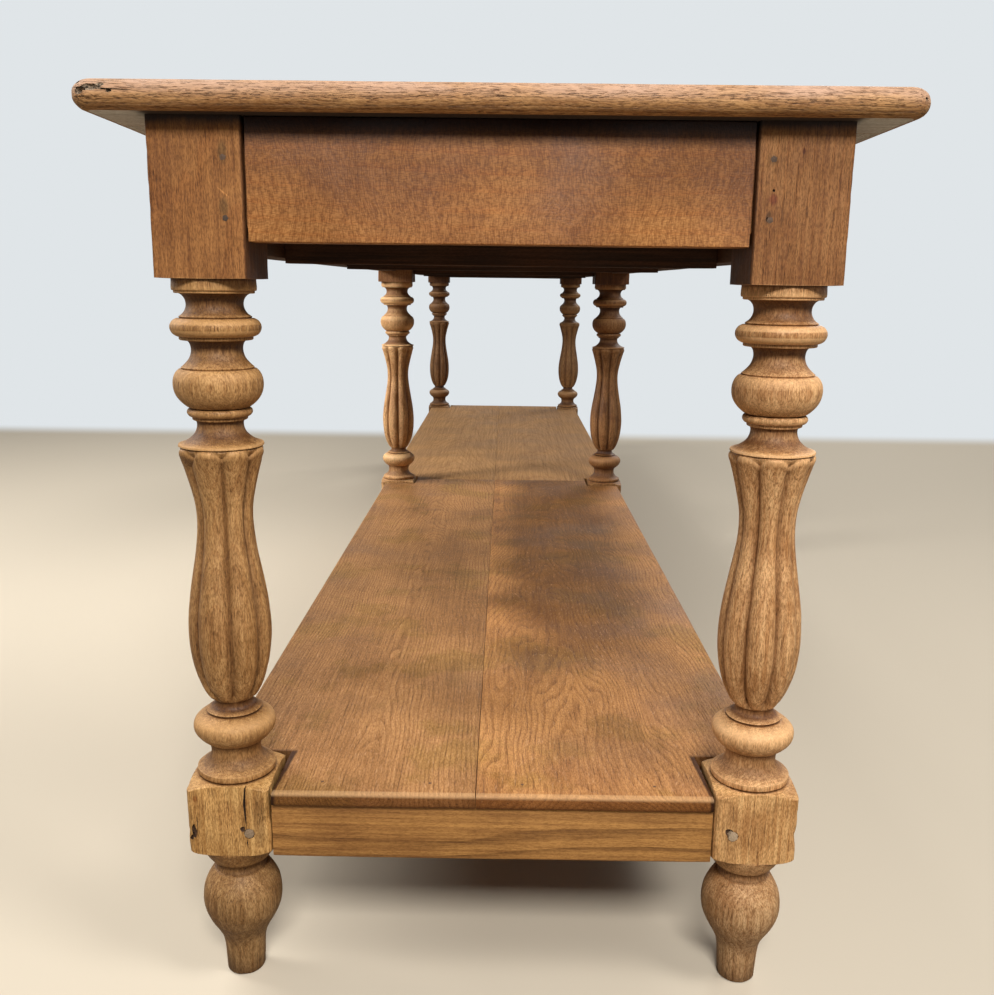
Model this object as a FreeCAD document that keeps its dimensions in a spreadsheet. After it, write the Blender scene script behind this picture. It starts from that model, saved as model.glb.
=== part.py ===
import FreeCAD, Part
import math
import os
from types import SimpleNamespace

import Sketcher
from FreeCAD import Placement, Rotation, Vector

# Draper's table: a long oak serving table on six turned and fluted legs, with a low shelf.
# +Z is up, +Y runs along the table away from the near end, +X runs to the right across it.
# The origin lies on the floor under the middle of the table. Lengths are millimetres.

SIZES = {
    # The whole table
    "table_height": 856,
    "bay_length": 1500,
    "leg_spacing": 510,
    # The top
    "top_thickness": 24,
    "top_side_overhang": 46,
    "top_end_overhang": 24,
    "breadboard_width": 90,
    "top_nose_radius": 8,
    "top_under_chamfer": 4,
    "top_corner_radius": 20,
    "top_tongue_thickness": 8,
    "top_tongue_length": 20,
    "top_tongue_setback": 30,
    # The legs
    "leg_square": 80,
    "leg_arris": 2,
    "upper_block_height": 132,
    "lower_block_height": 75,
    "foot_height": 149,
    "lower_arris": 7,
    "lower_shoulder_rise": 9,
    "core_width": 16,
    "vase_foot_height": 78,
    "vase_height": 247,
    "flute_depth": 4.5,
    # The aprons under the top
    "end_apron_height": 102,
    "end_apron_thickness": 26,
    "end_apron_recess": 3,
    "side_apron_height": 108,
    "side_apron_thickness": 38,
    "side_apron_recess": 4,
    "apron_tenon_thickness": 12,
    "apron_tenon_shoulder": 12,
    # The cross pieces under the top
    "bearer_height": 114,
    "bearer_thickness": 26,
    "outer_bearer_distance": 296,
    "bearer_tenon_length": 20,
    "bearer_tenon_shoulder": 24,
    # The low frame
    "stretcher_height": 56,
    "stretcher_thickness": 26,
    "stretcher_drop": 3,
    "end_stretcher_recess": 10,
    "side_stretcher_recess": 19,
    "middle_stretcher_thickness": 50,
    "stretcher_tenon_thickness": 10,
    "stretcher_tenon_shoulder": 10,
    # The shelf
    "shelf_thickness": 16,
    "shelf_side_inset": 11,
    "shelf_seam_offset": 16,
    "shelf_seam_gap": 0.5,
    "shelf_joint_offset": 12,
    "shelf_edge_radius": 4,
    "left_notch_gap": 3,
    "right_notch_gap": 11,
    "notch_end_gap": 7,
    # Joints and fixings
    "tenon_length": 36,
    "joint_clearance": 0.2,
    "peg_width": 9.5,
    "peg_clearance": 0.1,
    "apron_peg_inset": 13,
    "apron_peg_pitch": 49,
    "stretcher_peg_inset": 20,
    "glue_block_side": 28,
    "glue_block_length": 70,
    "nail_width": 7,
    "nail_thickness": 3,
    "nail_length": 46,
    "nail_edge_distance": 45,
    # How far a cutter runs past the face that it opens
    "overrun": 5,
}

# Turned outlines, as shares of half the leg's square and of a stretch's height. A line goes on
# to one point. A bead or a cove is an arc through one point to the next, cut in straight chords.
FOOT_OUTLINE_SHARES = [
    ("line", (0.44, 0.0)),
    ("line", (0.53, 0.24)),
    ("bead", (0.97, 0.56), (0.76, 0.74)),
    ("line", (0.60, 0.81)),
    ("cove", (0.72, 0.90), (0.97, 1.0)),
]
VASE_FOOT_OUTLINE_SHARES = [
    ("line", (0.93, 0.0)),
    ("line", (0.93, 0.08)),
    ("cove", (0.70, 0.16), (0.60, 0.32)),
    ("bead", (0.98, 0.61), (0.60, 0.86)),
    ("line", (0.46, 1.0)),
]
NECK_OUTLINE_SHARES = [
    ("line", (0.82, 0.0)),
    ("cove", (0.60, 0.06), (0.54, 0.13)),
    ("line", (0.69, 0.22)),
    ("bead", (0.99, 0.36), (0.83, 0.47)),
    ("cove", (0.60, 0.55), (0.78, 0.65)),
    ("bead", (0.99, 0.71), (0.82, 0.77)),
    ("cove", (0.62, 0.85), (0.90, 0.92)),
    ("line", (0.92, 1.0)),
]
CHORDS = {"bead": 3, "cove": 2}
CORNER_CHORDS = 2

# The fluted vase, from its foot up: height share, share of half the leg's square at a flute's
# crest, and share of the flute depth.
VASE_STATION_SHARES = [
    (0.0, 0.58, 0.6),
    (0.14, 0.87, 1.0),
    (0.28, 0.95, 1.0),
    (0.46, 0.83, 1.0),
    (0.72, 0.64, 0.8),
    (0.88, 0.77, 0.9),
    (0.975, 0.955, 1.0),
    (1.0, 0.90, 0.7),
]
FLUTES = 8
FLATS_PER_FLUTE = 3
FLATS_OF_TURNING = FLUTES * 2

# Two places closer than this are the same place
TOUCH = 1e-6

doc = FreeCAD.newDocument("DrapersTable")
sheet = doc.addObject("Spreadsheet::Sheet", "Sizes")


class Size:
    """A length together with the sheet formula that gives it, so that sums of sizes stay bound."""

    def __init__(self, value, formula):
        self.value = value
        self.formula = formula

    def _with(self, other, sign, value):
        return Size(value, f"({self.formula} {sign} {formula_of(other)})")

    def __add__(self, other):
        return self._with(other, "+", self.value + value_of(other))

    def __sub__(self, other):
        return self._with(other, "-", self.value - value_of(other))

    def __mul__(self, factor):
        return self._with(factor, "*", self.value * value_of(factor))

    def __truediv__(self, divisor):
        return self._with(divisor, "/", self.value / value_of(divisor))

    def __neg__(self):
        return self * -1


def value_of(number):
    return number.value if isinstance(number, Size) else number


def formula_of(number):
    return number.formula if isinstance(number, Size) else f"({number!r})"


def fill_sheet():
    """Writes every size to the sheet under its name, and returns them as bound sizes."""
    for row, (alias, number) in enumerate(SIZES.items(), start=1):
        sheet.set(f"A{row}", alias)
        sheet.set(f"B{row}", str(number))
        sheet.setAlias(f"B{row}", alias)
    doc.recompute()
    return SimpleNamespace(**{alias: Size(float(sheet.get(alias)), f"Sizes.{alias}") for alias in SIZES})


s = fill_sheet()
ZERO = Size(0.0, "0")
parts = []


# Small helpers that make bound primitives, booleans and sketches

def bind(thing, prop, number):
    thing.setExpression(prop, formula_of(number))


def place(thing, x, y, z):
    bind(thing, "Placement.Base.x", x)
    bind(thing, "Placement.Base.y", y)
    bind(thing, "Placement.Base.z", z)


def box(name, xs, ys, zs):
    """A block between two corners; each span may be given in either order."""
    solid = doc.addObject("Part::Box", name)
    lows = []
    for prop, span in zip(("Length", "Width", "Height"), (xs, ys, zs)):
        low, high = sorted(span, key=value_of)
        bind(solid, prop, high - low)
        lows.append(low)
    place(solid, *lows)
    return solid


def peg(name, at, turn, width, length):
    """An eight-sided peg whose axis is Z before it is turned."""
    solid = doc.addObject("Part::Prism", name)
    solid.Polygon = 8
    bind(solid, "Circumradius", width / 2)
    bind(solid, "Height", length)
    solid.Placement = Placement(Vector(), turn)
    place(solid, *at)
    return solid


def fuse(name, things):
    if len(things) == 1:
        return things[0]
    joined = doc.addObject("Part::MultiFuse", name)
    joined.Shapes = things
    joined.Refine = True
    return joined


def cut(name, base, tools):
    result = doc.addObject("Part::Cut", name)
    result.Base = base
    result.Tool = fuse(f"{name}_cutters", tools)
    result.Refine = True
    return result


def group(name, things):
    collected = doc.addObject("Part::Compound", name)
    collected.Links = things
    return collected


def keep(thing, label):
    """Lists a finished piece, under the name that its file takes."""
    thing.Label = label
    parts.append(thing)
    return thing


def origin_plane(body, role):
    return next(item for item in body.Origin.OriginFeatures if item.Role == role)


def outline(body, name, role, points, offset=ZERO):
    """A closed sketch of straight lines, each corner held by two bound distances."""
    sketch = body.newObject("Sketcher::SketchObject", name)
    sketch.AttachmentSupport = [(origin_plane(body, role), "")]
    sketch.MapMode = "FlatFace"
    bind(sketch, "AttachmentOffset.Base.z", offset)
    corners = [Vector(value_of(u), value_of(v), 0) for u, v in points]
    ends = corners[1:] + corners[:1]
    sketch.addGeometry([Part.LineSegment(a, b) for a, b in zip(corners, ends)], False)
    count = len(corners)
    rules = [Sketcher.Constraint("Coincident", i, 2, (i + 1) % count, 1) for i in range(count)]
    for i, corner in enumerate(corners):
        rules.append(Sketcher.Constraint("DistanceX", -1, 1, i, 1, corner.x))
        rules.append(Sketcher.Constraint("DistanceY", -1, 1, i, 1, corner.y))
    sketch.addConstraint(rules)
    for i, (u, v) in enumerate(points):
        sketch.setExpression(f"Constraints[{count + 2 * i}]", formula_of(u))
        sketch.setExpression(f"Constraints[{count + 2 * i + 1}]", formula_of(v))
    return sketch


def pad(body, name, sketch, length):
    feature = body.newObject("PartDesign::Pad", name)
    feature.Profile = sketch
    bind(feature, "Length", length)
    return feature


def edges_where(shape, test):
    return [f"Edge{i}" for i, edge in enumerate(shape.Edges, start=1) if test(edge.BoundBox)]


def dress(body, kind, name, base, edges, prop, number):
    """A fillet or a chamfer on the named edges of a feature."""
    feature = body.newObject(f"PartDesign::{kind}", name)
    feature.Base = (base, edges)
    bind(feature, prop, number)
    body.Tip = feature
    return feature


# Heights and places that follow from the sizes
half_square = s.leg_square / 2
leg_x = s.leg_spacing / 2
leg_height = s.table_height - s.top_thickness
block_end_y = s.bay_length + half_square
lower_block_top = s.foot_height + s.lower_block_height
upper_block_foot = leg_height - s.upper_block_height
vase_foot = lower_block_top + s.vase_foot_height
vase_top = vase_foot + s.vase_height
shelf_foot = s.foot_height - s.stretcher_drop + s.stretcher_height
shelf_top = shelf_foot + s.shelf_thickness
top_half_width = leg_x + half_square + s.top_side_overhang
top_half_length = block_end_y + s.top_end_overhang
LEFT, RIGHT = -1, 1
NEAR, MIDDLE, FAR = -1, 0, 1
SIDES = {"left": LEFT, "right": RIGHT}
ROWS = {"near": NEAR, "middle": MIDDLE, "far": FAR}
BAYS = {"near": NEAR, "far": FAR}


# Legs

# The left legs turn a groove to the table's end, and the right ones a reed.
FIRST_GROOVE_TURNS = {"left": -90, "right": -90 + 180 / FLUTES}


def arc_points(start, through, end, chords):
    """Points that divide the arc through three points evenly, past its start."""
    a, b, c = (Vector(u, v, 0) for u, v in (start, through, end))
    curve = Part.Arc(a, b, c)
    first, last = curve.FirstParameter, curve.LastParameter
    steps = [first + (last - first) * i / chords for i in range(chords + 1)]
    places = [curve.value(step) for step in steps]
    if (places[0] - a).Length > (places[-1] - a).Length:
        places.reverse()
    return [(p.x, p.y) for p in places[1:]]


def turned_rings(shares, foot, height):
    """Rings of a turned stretch that stands at foot and rises by height: radius and level."""
    run = []
    for kind, *marks in shares:
        run += marks if kind == "line" else arc_points(run[-1], *marks, CHORDS[kind])
    return [(half_square * radius, foot + height * rise) for radius, rise in run]


def round_corners(ring, turn):
    """The corners of one ring of a plain turned stretch."""
    radius, level = (value_of(number) for number in ring)
    turns = [math.radians(turn + 360 * i / FLATS_OF_TURNING) for i in range(FLATS_OF_TURNING)]
    return [Vector(radius * math.cos(angle), radius * math.sin(angle), level) for angle in turns]


def vase_rings():
    """Rings of the fluted vase, from its foot up: radius, level and depth of its grooves."""
    return [(half_square * crest, vase_foot + s.vase_height * rise, s.flute_depth * depth)
            for rise, crest, depth in VASE_STATION_SHARES]


def fluted_corners(ring, turn):
    """The corners of one ring of the vase; every few flats one falls back to a groove's bottom."""
    radius, level, depth = (value_of(number) for number in ring)
    sides = FLUTES * FLATS_PER_FLUTE
    corners = []
    for i in range(sides):
        reach = radius - depth if i % FLATS_PER_FLUTE == 0 else radius
        angle = math.radians(turn + 360 * i / sides)
        corners.append(Vector(reach * math.cos(angle), reach * math.sin(angle), level))
    return corners


def flat_face(*corners):
    return Part.Face(Part.makePolygon([*corners, corners[0]]))


def ringed_solid(loops, bent):
    """A solid of flat faces between loops of corners; bent bands are split into triangles."""
    faces = [flat_face(*loops[0]), flat_face(*loops[-1])]
    for lower, upper in zip(loops, loops[1:]):
        for i in range(len(lower)):
            a, b, c, d = lower[i - 1], lower[i], upper[i], upper[i - 1]
            faces += [flat_face(a, b, c), flat_face(a, c, d)] if bent else [flat_face(a, b, c, d)]
    solid = Part.makeSolid(Part.makeShell(faces))
    if solid.Volume < 0:
        solid.reverse()
    return solid


def eight_corners(arris):
    """The corners of a leg's square with its arrises taken off."""
    near = half_square - arris
    corners = []
    for sx, sy in ((1, 1), (-1, 1), (-1, -1), (1, -1)):
        pair = [(half_square * sx, near * sy), (near * sx, half_square * sy)]
        corners += pair if sx * sy > 0 else pair[::-1]
    return corners


def leg_blocks(name):
    """The square blocks of a leg on a slim core, with the corners of the lower one turned off."""
    body = doc.addObject("PartDesign::Body", name)
    core = s.core_width / 2
    slim = [(-core, -core), (core, -core), (core, core), (-core, core)]
    pad(body, f"{name}_core", outline(body, f"{name}_core_square", "XY_Plane", slim), leg_height)
    upper = outline(body, f"{name}_upper_square", "XY_Plane", eight_corners(s.leg_arris), upper_block_foot)
    pad(body, f"{name}_upper_block", upper, s.upper_block_height)
    lower = outline(body, f"{name}_lower_square", "XY_Plane", eight_corners(s.lower_arris), s.foot_height)
    block = pad(body, f"{name}_lower_block", lower, s.lower_block_height)
    doc.recompute()
    ends = (value_of(s.foot_height), value_of(lower_block_top))

    def across_corner(b):
        level = any(abs(b.ZMin - end) < TOUCH and abs(b.ZMax - end) < TOUCH for end in ends)
        return level and b.XLength > TOUCH and b.YLength > TOUCH

    dress(body, "Chamfer", f"{name}_turned_off", block, edges_where(block.Shape, across_corner),
          "Size", s.lower_shoulder_rise)
    return body


def leg_blank(name, blocks, turn):
    """One leg as it leaves the lathe and the carver's bench, before its mortises are cut."""
    turned = {
        "foot": turned_rings(FOOT_OUTLINE_SHARES, ZERO, s.foot_height),
        "vase_foot": turned_rings(VASE_FOOT_OUTLINE_SHARES, lower_block_top, s.vase_foot_height),
        "neck": turned_rings(NECK_OUTLINE_SHARES, vase_top, upper_block_foot - vase_top),
    }
    solids = {part: ringed_solid([round_corners(ring, turn) for ring in rings], bent=False)
              for part, rings in turned.items()}
    solids["vase"] = ringed_solid([fluted_corners(ring, turn) for ring in vase_rings()], bent=True)
    pieces = [blocks]
    for part, solid in solids.items():
        turning = doc.addObject("Part::Feature", f"{name}_{part}")
        turning.Shape = solid
        turning.Placement = Placement()
        pieces.append(turning)
    return fuse(name, pieces)


# Rails: every piece that is tenoned at both ends between two others

def rail(label, along, span, across, zs, tenon_length, tenon_thickness, tenon_shoulder):
    """A rail along "x" or "y" with a tenon at each end, and the bar that cuts its mortises."""
    low, high = span
    tenon_middle = (across[0] + across[1]) / 2
    tenon_across = (tenon_middle - tenon_thickness / 2, tenon_middle + tenon_thickness / 2)
    tenon_zs = (zs[0] + tenon_shoulder, zs[1] - tenon_shoulder)
    gap = s.joint_clearance

    def bar(name, run, side, rise):
        return box(name, run, side, rise) if along == "x" else box(name, side, run, rise)

    stick = bar(f"{label}_stick", span, across, zs)
    tenons = bar(f"{label}_tenons", (low - tenon_length, high + tenon_length), tenon_across, tenon_zs)
    mortises = bar(f"{label}_mortises", (low - tenon_length - gap, high + tenon_length + gap),
                   (tenon_across[0] - gap, tenon_across[1] + gap), (tenon_zs[0] - gap, tenon_zs[1] + gap))
    return SimpleNamespace(label=label, solid=fuse(f"{label}_whole", [stick, tenons]), mortises=mortises,
                           middle=tenon_middle, zs=tenon_zs)


def board_span(sign, outer, thickness):
    """The two places of a board's faces, low one first, from its outer face and its side."""
    return tuple(sorted((outer * sign, (outer - thickness) * sign), key=value_of))


inner_x = leg_x - half_square
apron_top = leg_height
across_legs = (-inner_x, inner_x)
bay_start = half_square
bay_end = s.bay_length - half_square


def bay_span(bay):
    return (bay_start, bay_end) if bay == FAR else (-bay_end, -bay_start)


def make_rails():
    rails = {}
    for row, sign in BAYS.items():
        outer = block_end_y - s.end_apron_recess
        rails[f"apron_{row}_end"] = rail(
            f"apron_{row}_end", "x", across_legs,
            board_span(sign, outer, s.end_apron_thickness),
            (apron_top - s.end_apron_height, apron_top), s.tenon_length, s.apron_tenon_thickness,
            s.apron_tenon_shoulder)
        outer = block_end_y - s.end_stretcher_recess
        rails[f"stretcher_{row}_end"] = rail(
            f"stretcher_{row}_end", "x", across_legs, board_span(sign, outer, s.stretcher_thickness),
            (shelf_foot - s.stretcher_height, shelf_foot), s.tenon_length, s.stretcher_tenon_thickness,
            s.stretcher_tenon_shoulder)
    for bay, bay_sign in BAYS.items():
        for side, sign in SIDES.items():
            outer = leg_x + half_square - s.side_apron_recess
            rails[f"apron_{bay}_{side}"] = rail(
                f"apron_{bay}_{side}", "y", bay_span(bay_sign),
                board_span(sign, outer, s.side_apron_thickness),
                (apron_top - s.side_apron_height, apron_top), s.tenon_length, s.apron_tenon_thickness,
                s.apron_tenon_shoulder)
            outer = leg_x + half_square - s.side_stretcher_recess
            rails[f"stretcher_{bay}_{side}"] = rail(
                f"stretcher_{bay}_{side}", "y", bay_span(bay_sign),
                board_span(sign, outer, s.stretcher_thickness),
                (shelf_foot - s.stretcher_height, shelf_foot), s.tenon_length, s.stretcher_tenon_thickness,
                s.stretcher_tenon_shoulder)
    rails["apron_middle_cross"] = rail(
        "apron_middle_cross", "x", across_legs, (-s.bearer_thickness / 2, s.bearer_thickness / 2),
        (apron_top - s.bearer_height, apron_top), s.tenon_length, s.apron_tenon_thickness,
        s.bearer_tenon_shoulder)
    rails["stretcher_middle"] = rail(
        "stretcher_middle", "x", across_legs,
        (-s.middle_stretcher_thickness / 2, s.middle_stretcher_thickness / 2),
        (shelf_foot - s.stretcher_height, shelf_foot), s.tenon_length, s.stretcher_tenon_thickness,
        s.stretcher_tenon_shoulder)
    return rails


def make_bearers():
    """Cross pieces that tie the long aprons together: one near each end and one in mid bay."""
    reach = leg_x + half_square - s.side_apron_recess - s.side_apron_thickness
    bearers = {}
    places = {"outer": s.bay_length - s.outer_bearer_distance, "inner": s.bay_length / 2}
    for bay, sign in BAYS.items():
        for name, distance in places.items():
            middle = distance * sign
            label = f"bearer_{bay}_{name}"
            half = s.bearer_thickness / 2
            bearers[label] = rail(label, "x", (-reach, reach), (middle - half, middle + half),
                                  (apron_top - s.bearer_height, apron_top), s.bearer_tenon_length,
                                  s.apron_tenon_thickness, s.bearer_tenon_shoulder)
            bearers[label].bay = bay
    return bearers


# Pegs that lock the tenons

TURN_TO_Y = Rotation(Vector(1, 0, 0), -90)
TURN_TO_X = Rotation(Vector(0, 1, 0), 90)


def lock(name, at, turn, depth):
    """A peg and the slightly wider cutter for its hole, both flush with the face they start from."""
    pin = peg(f"{name}_pin", at, turn, s.peg_width, depth)
    hole = peg(f"{name}_hole", at, turn, s.peg_width + s.peg_clearance * 2, depth)
    return SimpleNamespace(pin=pin, hole=hole)


def lock_end_joint(kind, row, row_sign, side, sign, joint):
    """Pegs of an end rail's tenon, driven along Y from the leg's outer face."""
    back = block_end_y - joint.middle * row_sign + s.apron_tenon_thickness / 2
    start = -block_end_y if row_sign == NEAR else block_end_y - back
    middle = (joint.zs[0] + joint.zs[1]) / 2
    if kind == "apron":
        x = (inner_x + s.apron_peg_inset) * sign
        levels = (middle - s.apron_peg_pitch / 2, middle + s.apron_peg_pitch / 2)
    else:
        x = (inner_x + s.stretcher_peg_inset) * sign
        levels = (middle,)
    return [lock(f"{kind}_{row}_end_{side}_{number}", (x, start, z), TURN_TO_Y, back)
            for number, z in enumerate(levels)]


def lock_side_joint(kind, bay, side, sign, joint, row, y):
    """The peg of a long rail's tenon, driven along X from the leg's outer face."""
    outer = leg_x + half_square
    back = outer - joint.middle * sign + s.apron_tenon_thickness / 2
    start = -outer if sign == LEFT else outer - back
    z = (joint.zs[0] + joint.zs[1]) / 2
    return lock(f"{kind}_{bay}_{side}_{row}", (start, y, z), TURN_TO_X, back)


def make_locks(rails):
    """Every peg of the frame: the set it is kept in, its leg, its rail, its solid and its hole."""
    locks = []

    def add(kind, row, side, rail_name, one):
        locks.append(SimpleNamespace(kind=kind, leg=(row, side), rail=rail_name,
                                     pin=one.pin, hole=one.hole))

    for row, row_sign in BAYS.items():
        for side, sign in SIDES.items():
            for kind in ("apron", "stretcher"):
                rail_name = f"{kind}_{row}_end"
                for one in lock_end_joint(kind, row, row_sign, side, sign, rails[rail_name]):
                    add(f"end_{kind}_pegs", row, side, rail_name, one)
            for kind, inset in (("apron", s.apron_peg_inset), ("stretcher", s.stretcher_peg_inset)):
                rail_name = f"{kind}_{row}_{side}"
                for leg_row, y in ((row, bay_end + inset), ("middle", bay_start - inset)):
                    one = lock_side_joint(kind, row, side, sign, rails[rail_name], leg_row, y * row_sign)
                    add(f"side_{kind}_pegs", leg_row, side, rail_name, one)
    return locks


def make_legs(blanks, rails, locks):
    """Six legs, each a placed blank with the mortises and peg holes of its own joints."""
    for row, row_sign in ROWS.items():
        for side, sign in SIDES.items():
            label = f"leg_{row}_{side}"
            blank = doc.addObject("App::Link", f"{label}_blank")
            blank.LinkedObject = blanks[side]
            place(blank, leg_x * sign, s.bay_length * row_sign, ZERO)
            tools = []
            if row == "middle":
                meeting = [f"{kind}_{bay}_{side}" for kind in ("apron", "stretcher") for bay in BAYS]
                meeting += ["apron_middle_cross", "stretcher_middle"]
            else:
                meeting = [f"{kind}_{row}_{part}"
                           for kind in ("apron", "stretcher") for part in ("end", side)]
            tools += [rails[name].mortises for name in meeting]
            tools += [one.hole for one in locks if one.leg == (row, side)]
            keep(cut(label, blank, tools), label)


def finish_rails(rails, bearers, locks):
    """Bores the tenons for their pegs, and the long aprons for the bearers."""
    long_aprons = {f"apron_{bay}_{side}": bay for bay in BAYS for side in SIDES}
    for name, piece in rails.items():
        tools = [one.hole for one in locks if one.rail == name]
        if name in long_aprons:
            tools += [one.mortises for one in bearers.values() if one.bay == long_aprons[name]]
        whole = cut(name, piece.solid, tools) if tools else piece.solid
        keep(whole, name)
    for name, piece in bearers.items():
        keep(piece.solid, name)


# Top: three long boards between two breadboard ends

def top_board(name, xs, rounded):
    """A long board with a tongue at each end; rounded is the side whose edge is the table's."""
    body = doc.addObject("PartDesign::Body", f"{name}_body")
    shoulder = top_half_length - s.breadboard_width
    low, high = xs
    plan = outline(body, f"{name}_plan", "XY_Plane",
                   [(low, -shoulder), (high, -shoulder), (high, shoulder), (low, shoulder)], leg_height)
    slab = pad(body, f"{name}_slab", plan, s.top_thickness)
    if rounded:
        doc.recompute()
        edge_x = value_of(high if rounded == RIGHT else low)
        top_z = value_of(s.table_height)
        foot_z = value_of(leg_height)

        def on_edge(bounds, level):
            flat = bounds.YLength > bounds.XLength and bounds.ZLength < TOUCH
            return flat and abs(bounds.XMax - edge_x) < TOUCH and abs(bounds.ZMax - level) < TOUCH

        edges = edges_where(slab.Shape, lambda bounds: on_edge(bounds, top_z))
        nose = dress(body, "Fillet", f"{name}_nose", slab, edges, "Radius", s.top_nose_radius)
        doc.recompute()
        edges = edges_where(nose.Shape, lambda bounds: on_edge(bounds, foot_z))
        dress(body, "Chamfer", f"{name}_under", nose, edges, "Size", s.top_under_chamfer)
    tongue_low = low + s.top_tongue_setback if rounded == LEFT else low
    tongue_high = high - s.top_tongue_setback if rounded == RIGHT else high
    middle = leg_height + s.top_thickness / 2
    half = s.top_tongue_thickness / 2
    reach = shoulder + s.top_tongue_length
    tongues = box(f"{name}_tongues", (tongue_low, tongue_high), (-reach, reach),
                  (middle - half, middle + half))
    return fuse(f"{name}_whole", [body, tongues])


def breadboard(name, sign):
    """A cross board that clamps the ends of the long ones; its outer corners are rounded off."""
    body = doc.addObject("PartDesign::Body", f"{name}_body")
    outer = top_half_length * sign
    inner = (top_half_length - s.breadboard_width) * sign
    radius = s.top_corner_radius
    turns = [math.pi / 2 * i / CORNER_CHORDS for i in range(CORNER_CHORDS + 1)]
    right = [(top_half_width - radius + radius * math.cos(turn),
              outer - (radius - radius * math.sin(turn)) * sign) for turn in turns]
    left = [(-x, y) for x, y in reversed(right)]
    corners = [(top_half_width, inner), *right, *left, (-top_half_width, inner)]
    plan = outline(body, f"{name}_plan", "XY_Plane", corners, leg_height)
    slab = pad(body, f"{name}_slab", plan, s.top_thickness)
    doc.recompute()
    back = value_of(inner)

    def rim(shape, level):
        def on_rim(b):
            flat = b.ZLength < TOUCH and abs(b.ZMax - level) < TOUCH
            return flat and abs(b.YMin - back) + abs(b.YMax - back) > TOUCH
        return edges_where(shape, on_rim)

    nose = dress(body, "Fillet", f"{name}_nose", slab, rim(slab.Shape, value_of(s.table_height)),
                 "Radius", s.top_nose_radius)
    doc.recompute()
    dress(body, "Chamfer", f"{name}_under", nose, rim(nose.Shape, value_of(leg_height)),
          "Size", s.top_under_chamfer)
    gap = s.joint_clearance
    half = s.top_tongue_thickness / 2 + gap
    middle = leg_height + s.top_thickness / 2
    reach = top_half_width - s.top_tongue_setback + gap
    depth = (top_half_length - s.breadboard_width + s.top_tongue_length + gap) * sign
    groove = box(f"{name}_groove", (-reach, reach), (inner - s.overrun * sign, depth),
                 (middle - half, middle + half))
    return body, groove


def make_top():
    third = top_half_width * 2 / 3
    spans = {
        "left": (-top_half_width, -top_half_width + third, LEFT),
        "middle": (-top_half_width + third, top_half_width - third, None),
        "right": (top_half_width - third, top_half_width, RIGHT),
    }
    pins = []
    holes = []
    for row, sign in BAYS.items():
        y = (top_half_length - s.breadboard_width + s.top_tongue_length / 2) * sign
        for name, (low, high, _) in spans.items():
            at = ((low + high) / 2, y, leg_height)
            one = lock(f"breadboard_{row}_{name}", at, Rotation(), s.top_thickness)
            pins.append(one.pin)
            holes.append(one.hole)
    for name, (low, high, rounded) in spans.items():
        whole = top_board(f"top_board_{name}", (low, high), rounded)
        keep(cut(f"top_board_{name}_bored", whole, holes), f"top_board_{name}")
    for row, sign in BAYS.items():
        body, groove = breadboard(f"breadboard_end_{row}", sign)
        keep(cut(f"breadboard_end_{row}_cut", body, [groove] + holes), f"breadboard_end_{row}")
    keep(group("breadboard_pins", pins), "breadboard_pegs")


# Shelf: two boards to a bay, notched round the legs, butted on the middle stretcher

def shelf_board(bay, bay_sign, side, sign):
    """One shelf board; its outer edge is notched round the two leg blocks that it passes."""
    label = f"shelf_board_{bay}_{side}"
    body = doc.addObject("PartDesign::Body", f"{label}_body")
    edge = (leg_x + half_square - s.shelf_side_inset) * sign
    notch_gap = s.left_notch_gap if side == "left" else s.right_notch_gap
    notch = (inner_x - notch_gap) * sign
    seam = -s.shelf_seam_offset + s.shelf_seam_gap / 2 * sign
    end = block_end_y * bay_sign
    end_notch = (s.bay_length - half_square - s.notch_end_gap) * bay_sign
    butt = s.shelf_joint_offset
    middle_notch = (half_square + s.notch_end_gap) * bay_sign
    corners = [(seam, butt), (notch, butt), (notch, middle_notch), (edge, middle_notch),
               (edge, end_notch), (notch, end_notch), (notch, end), (seam, end)]
    plan = outline(body, f"{label}_plan", "XY_Plane", corners, shelf_foot)
    slab = pad(body, f"{label}_slab", plan, s.shelf_thickness)
    doc.recompute()
    level = value_of(shelf_top)
    end_y = value_of(end)
    edge_x = value_of(edge)

    def shows(b):
        at_end = abs(b.YMin - end_y) < TOUCH and b.YLength < TOUCH
        at_side = abs(b.XMin - edge_x) < TOUCH and b.XLength < TOUCH
        return abs(b.ZMin - level) < TOUCH and (at_end or at_side)

    dress(body, "Fillet", f"{label}_edge", slab, edges_where(slab.Shape, shows),
          "Radius", s.shelf_edge_radius)
    return label, body, seam, notch


def nail(name, x, y):
    """A cut nail, wider along the table than it is thick, driven flush into the stretcher."""
    half_width = s.nail_width / 2
    half_thickness = s.nail_thickness / 2
    return box(name, (x - half_thickness, x + half_thickness), (y - half_width, y + half_width),
               (shelf_top - s.nail_length, shelf_top))


def make_shelf():
    """The shelf boards and the nails that hold them; returns the nails by the stretcher they enter."""
    nails = {"near": [], "middle": [], "far": []}
    boards = []
    for bay, bay_sign in BAYS.items():
        for side, sign in SIDES.items():
            label, body, seam, notch = shelf_board(bay, bay_sign, side, sign)
            stretcher_y = (block_end_y - s.end_stretcher_recess - s.stretcher_thickness / 2) * bay_sign
            bearing = s.middle_stretcher_thickness / 2
            butt_y = (s.shelf_joint_offset + bearing * bay_sign) / 2
            inset = s.nail_edge_distance * sign
            own = []
            for row, y in ((bay, stretcher_y), ("middle", butt_y)):
                for number, x in enumerate((seam + inset, notch - inset)):
                    one = nail(f"nail_{bay}_{side}_{row}_{number}", x, y)
                    nails[row].append(one)
                    own.append(one)
            boards.append((label, body, own))
    for label, body, own in boards:
        keep(cut(f"{label}_bored", body, own), label)
    keep(group("shelf_nail_set", [one for row in nails.values() for one in row]), "shelf_nails")
    return nails


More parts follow.
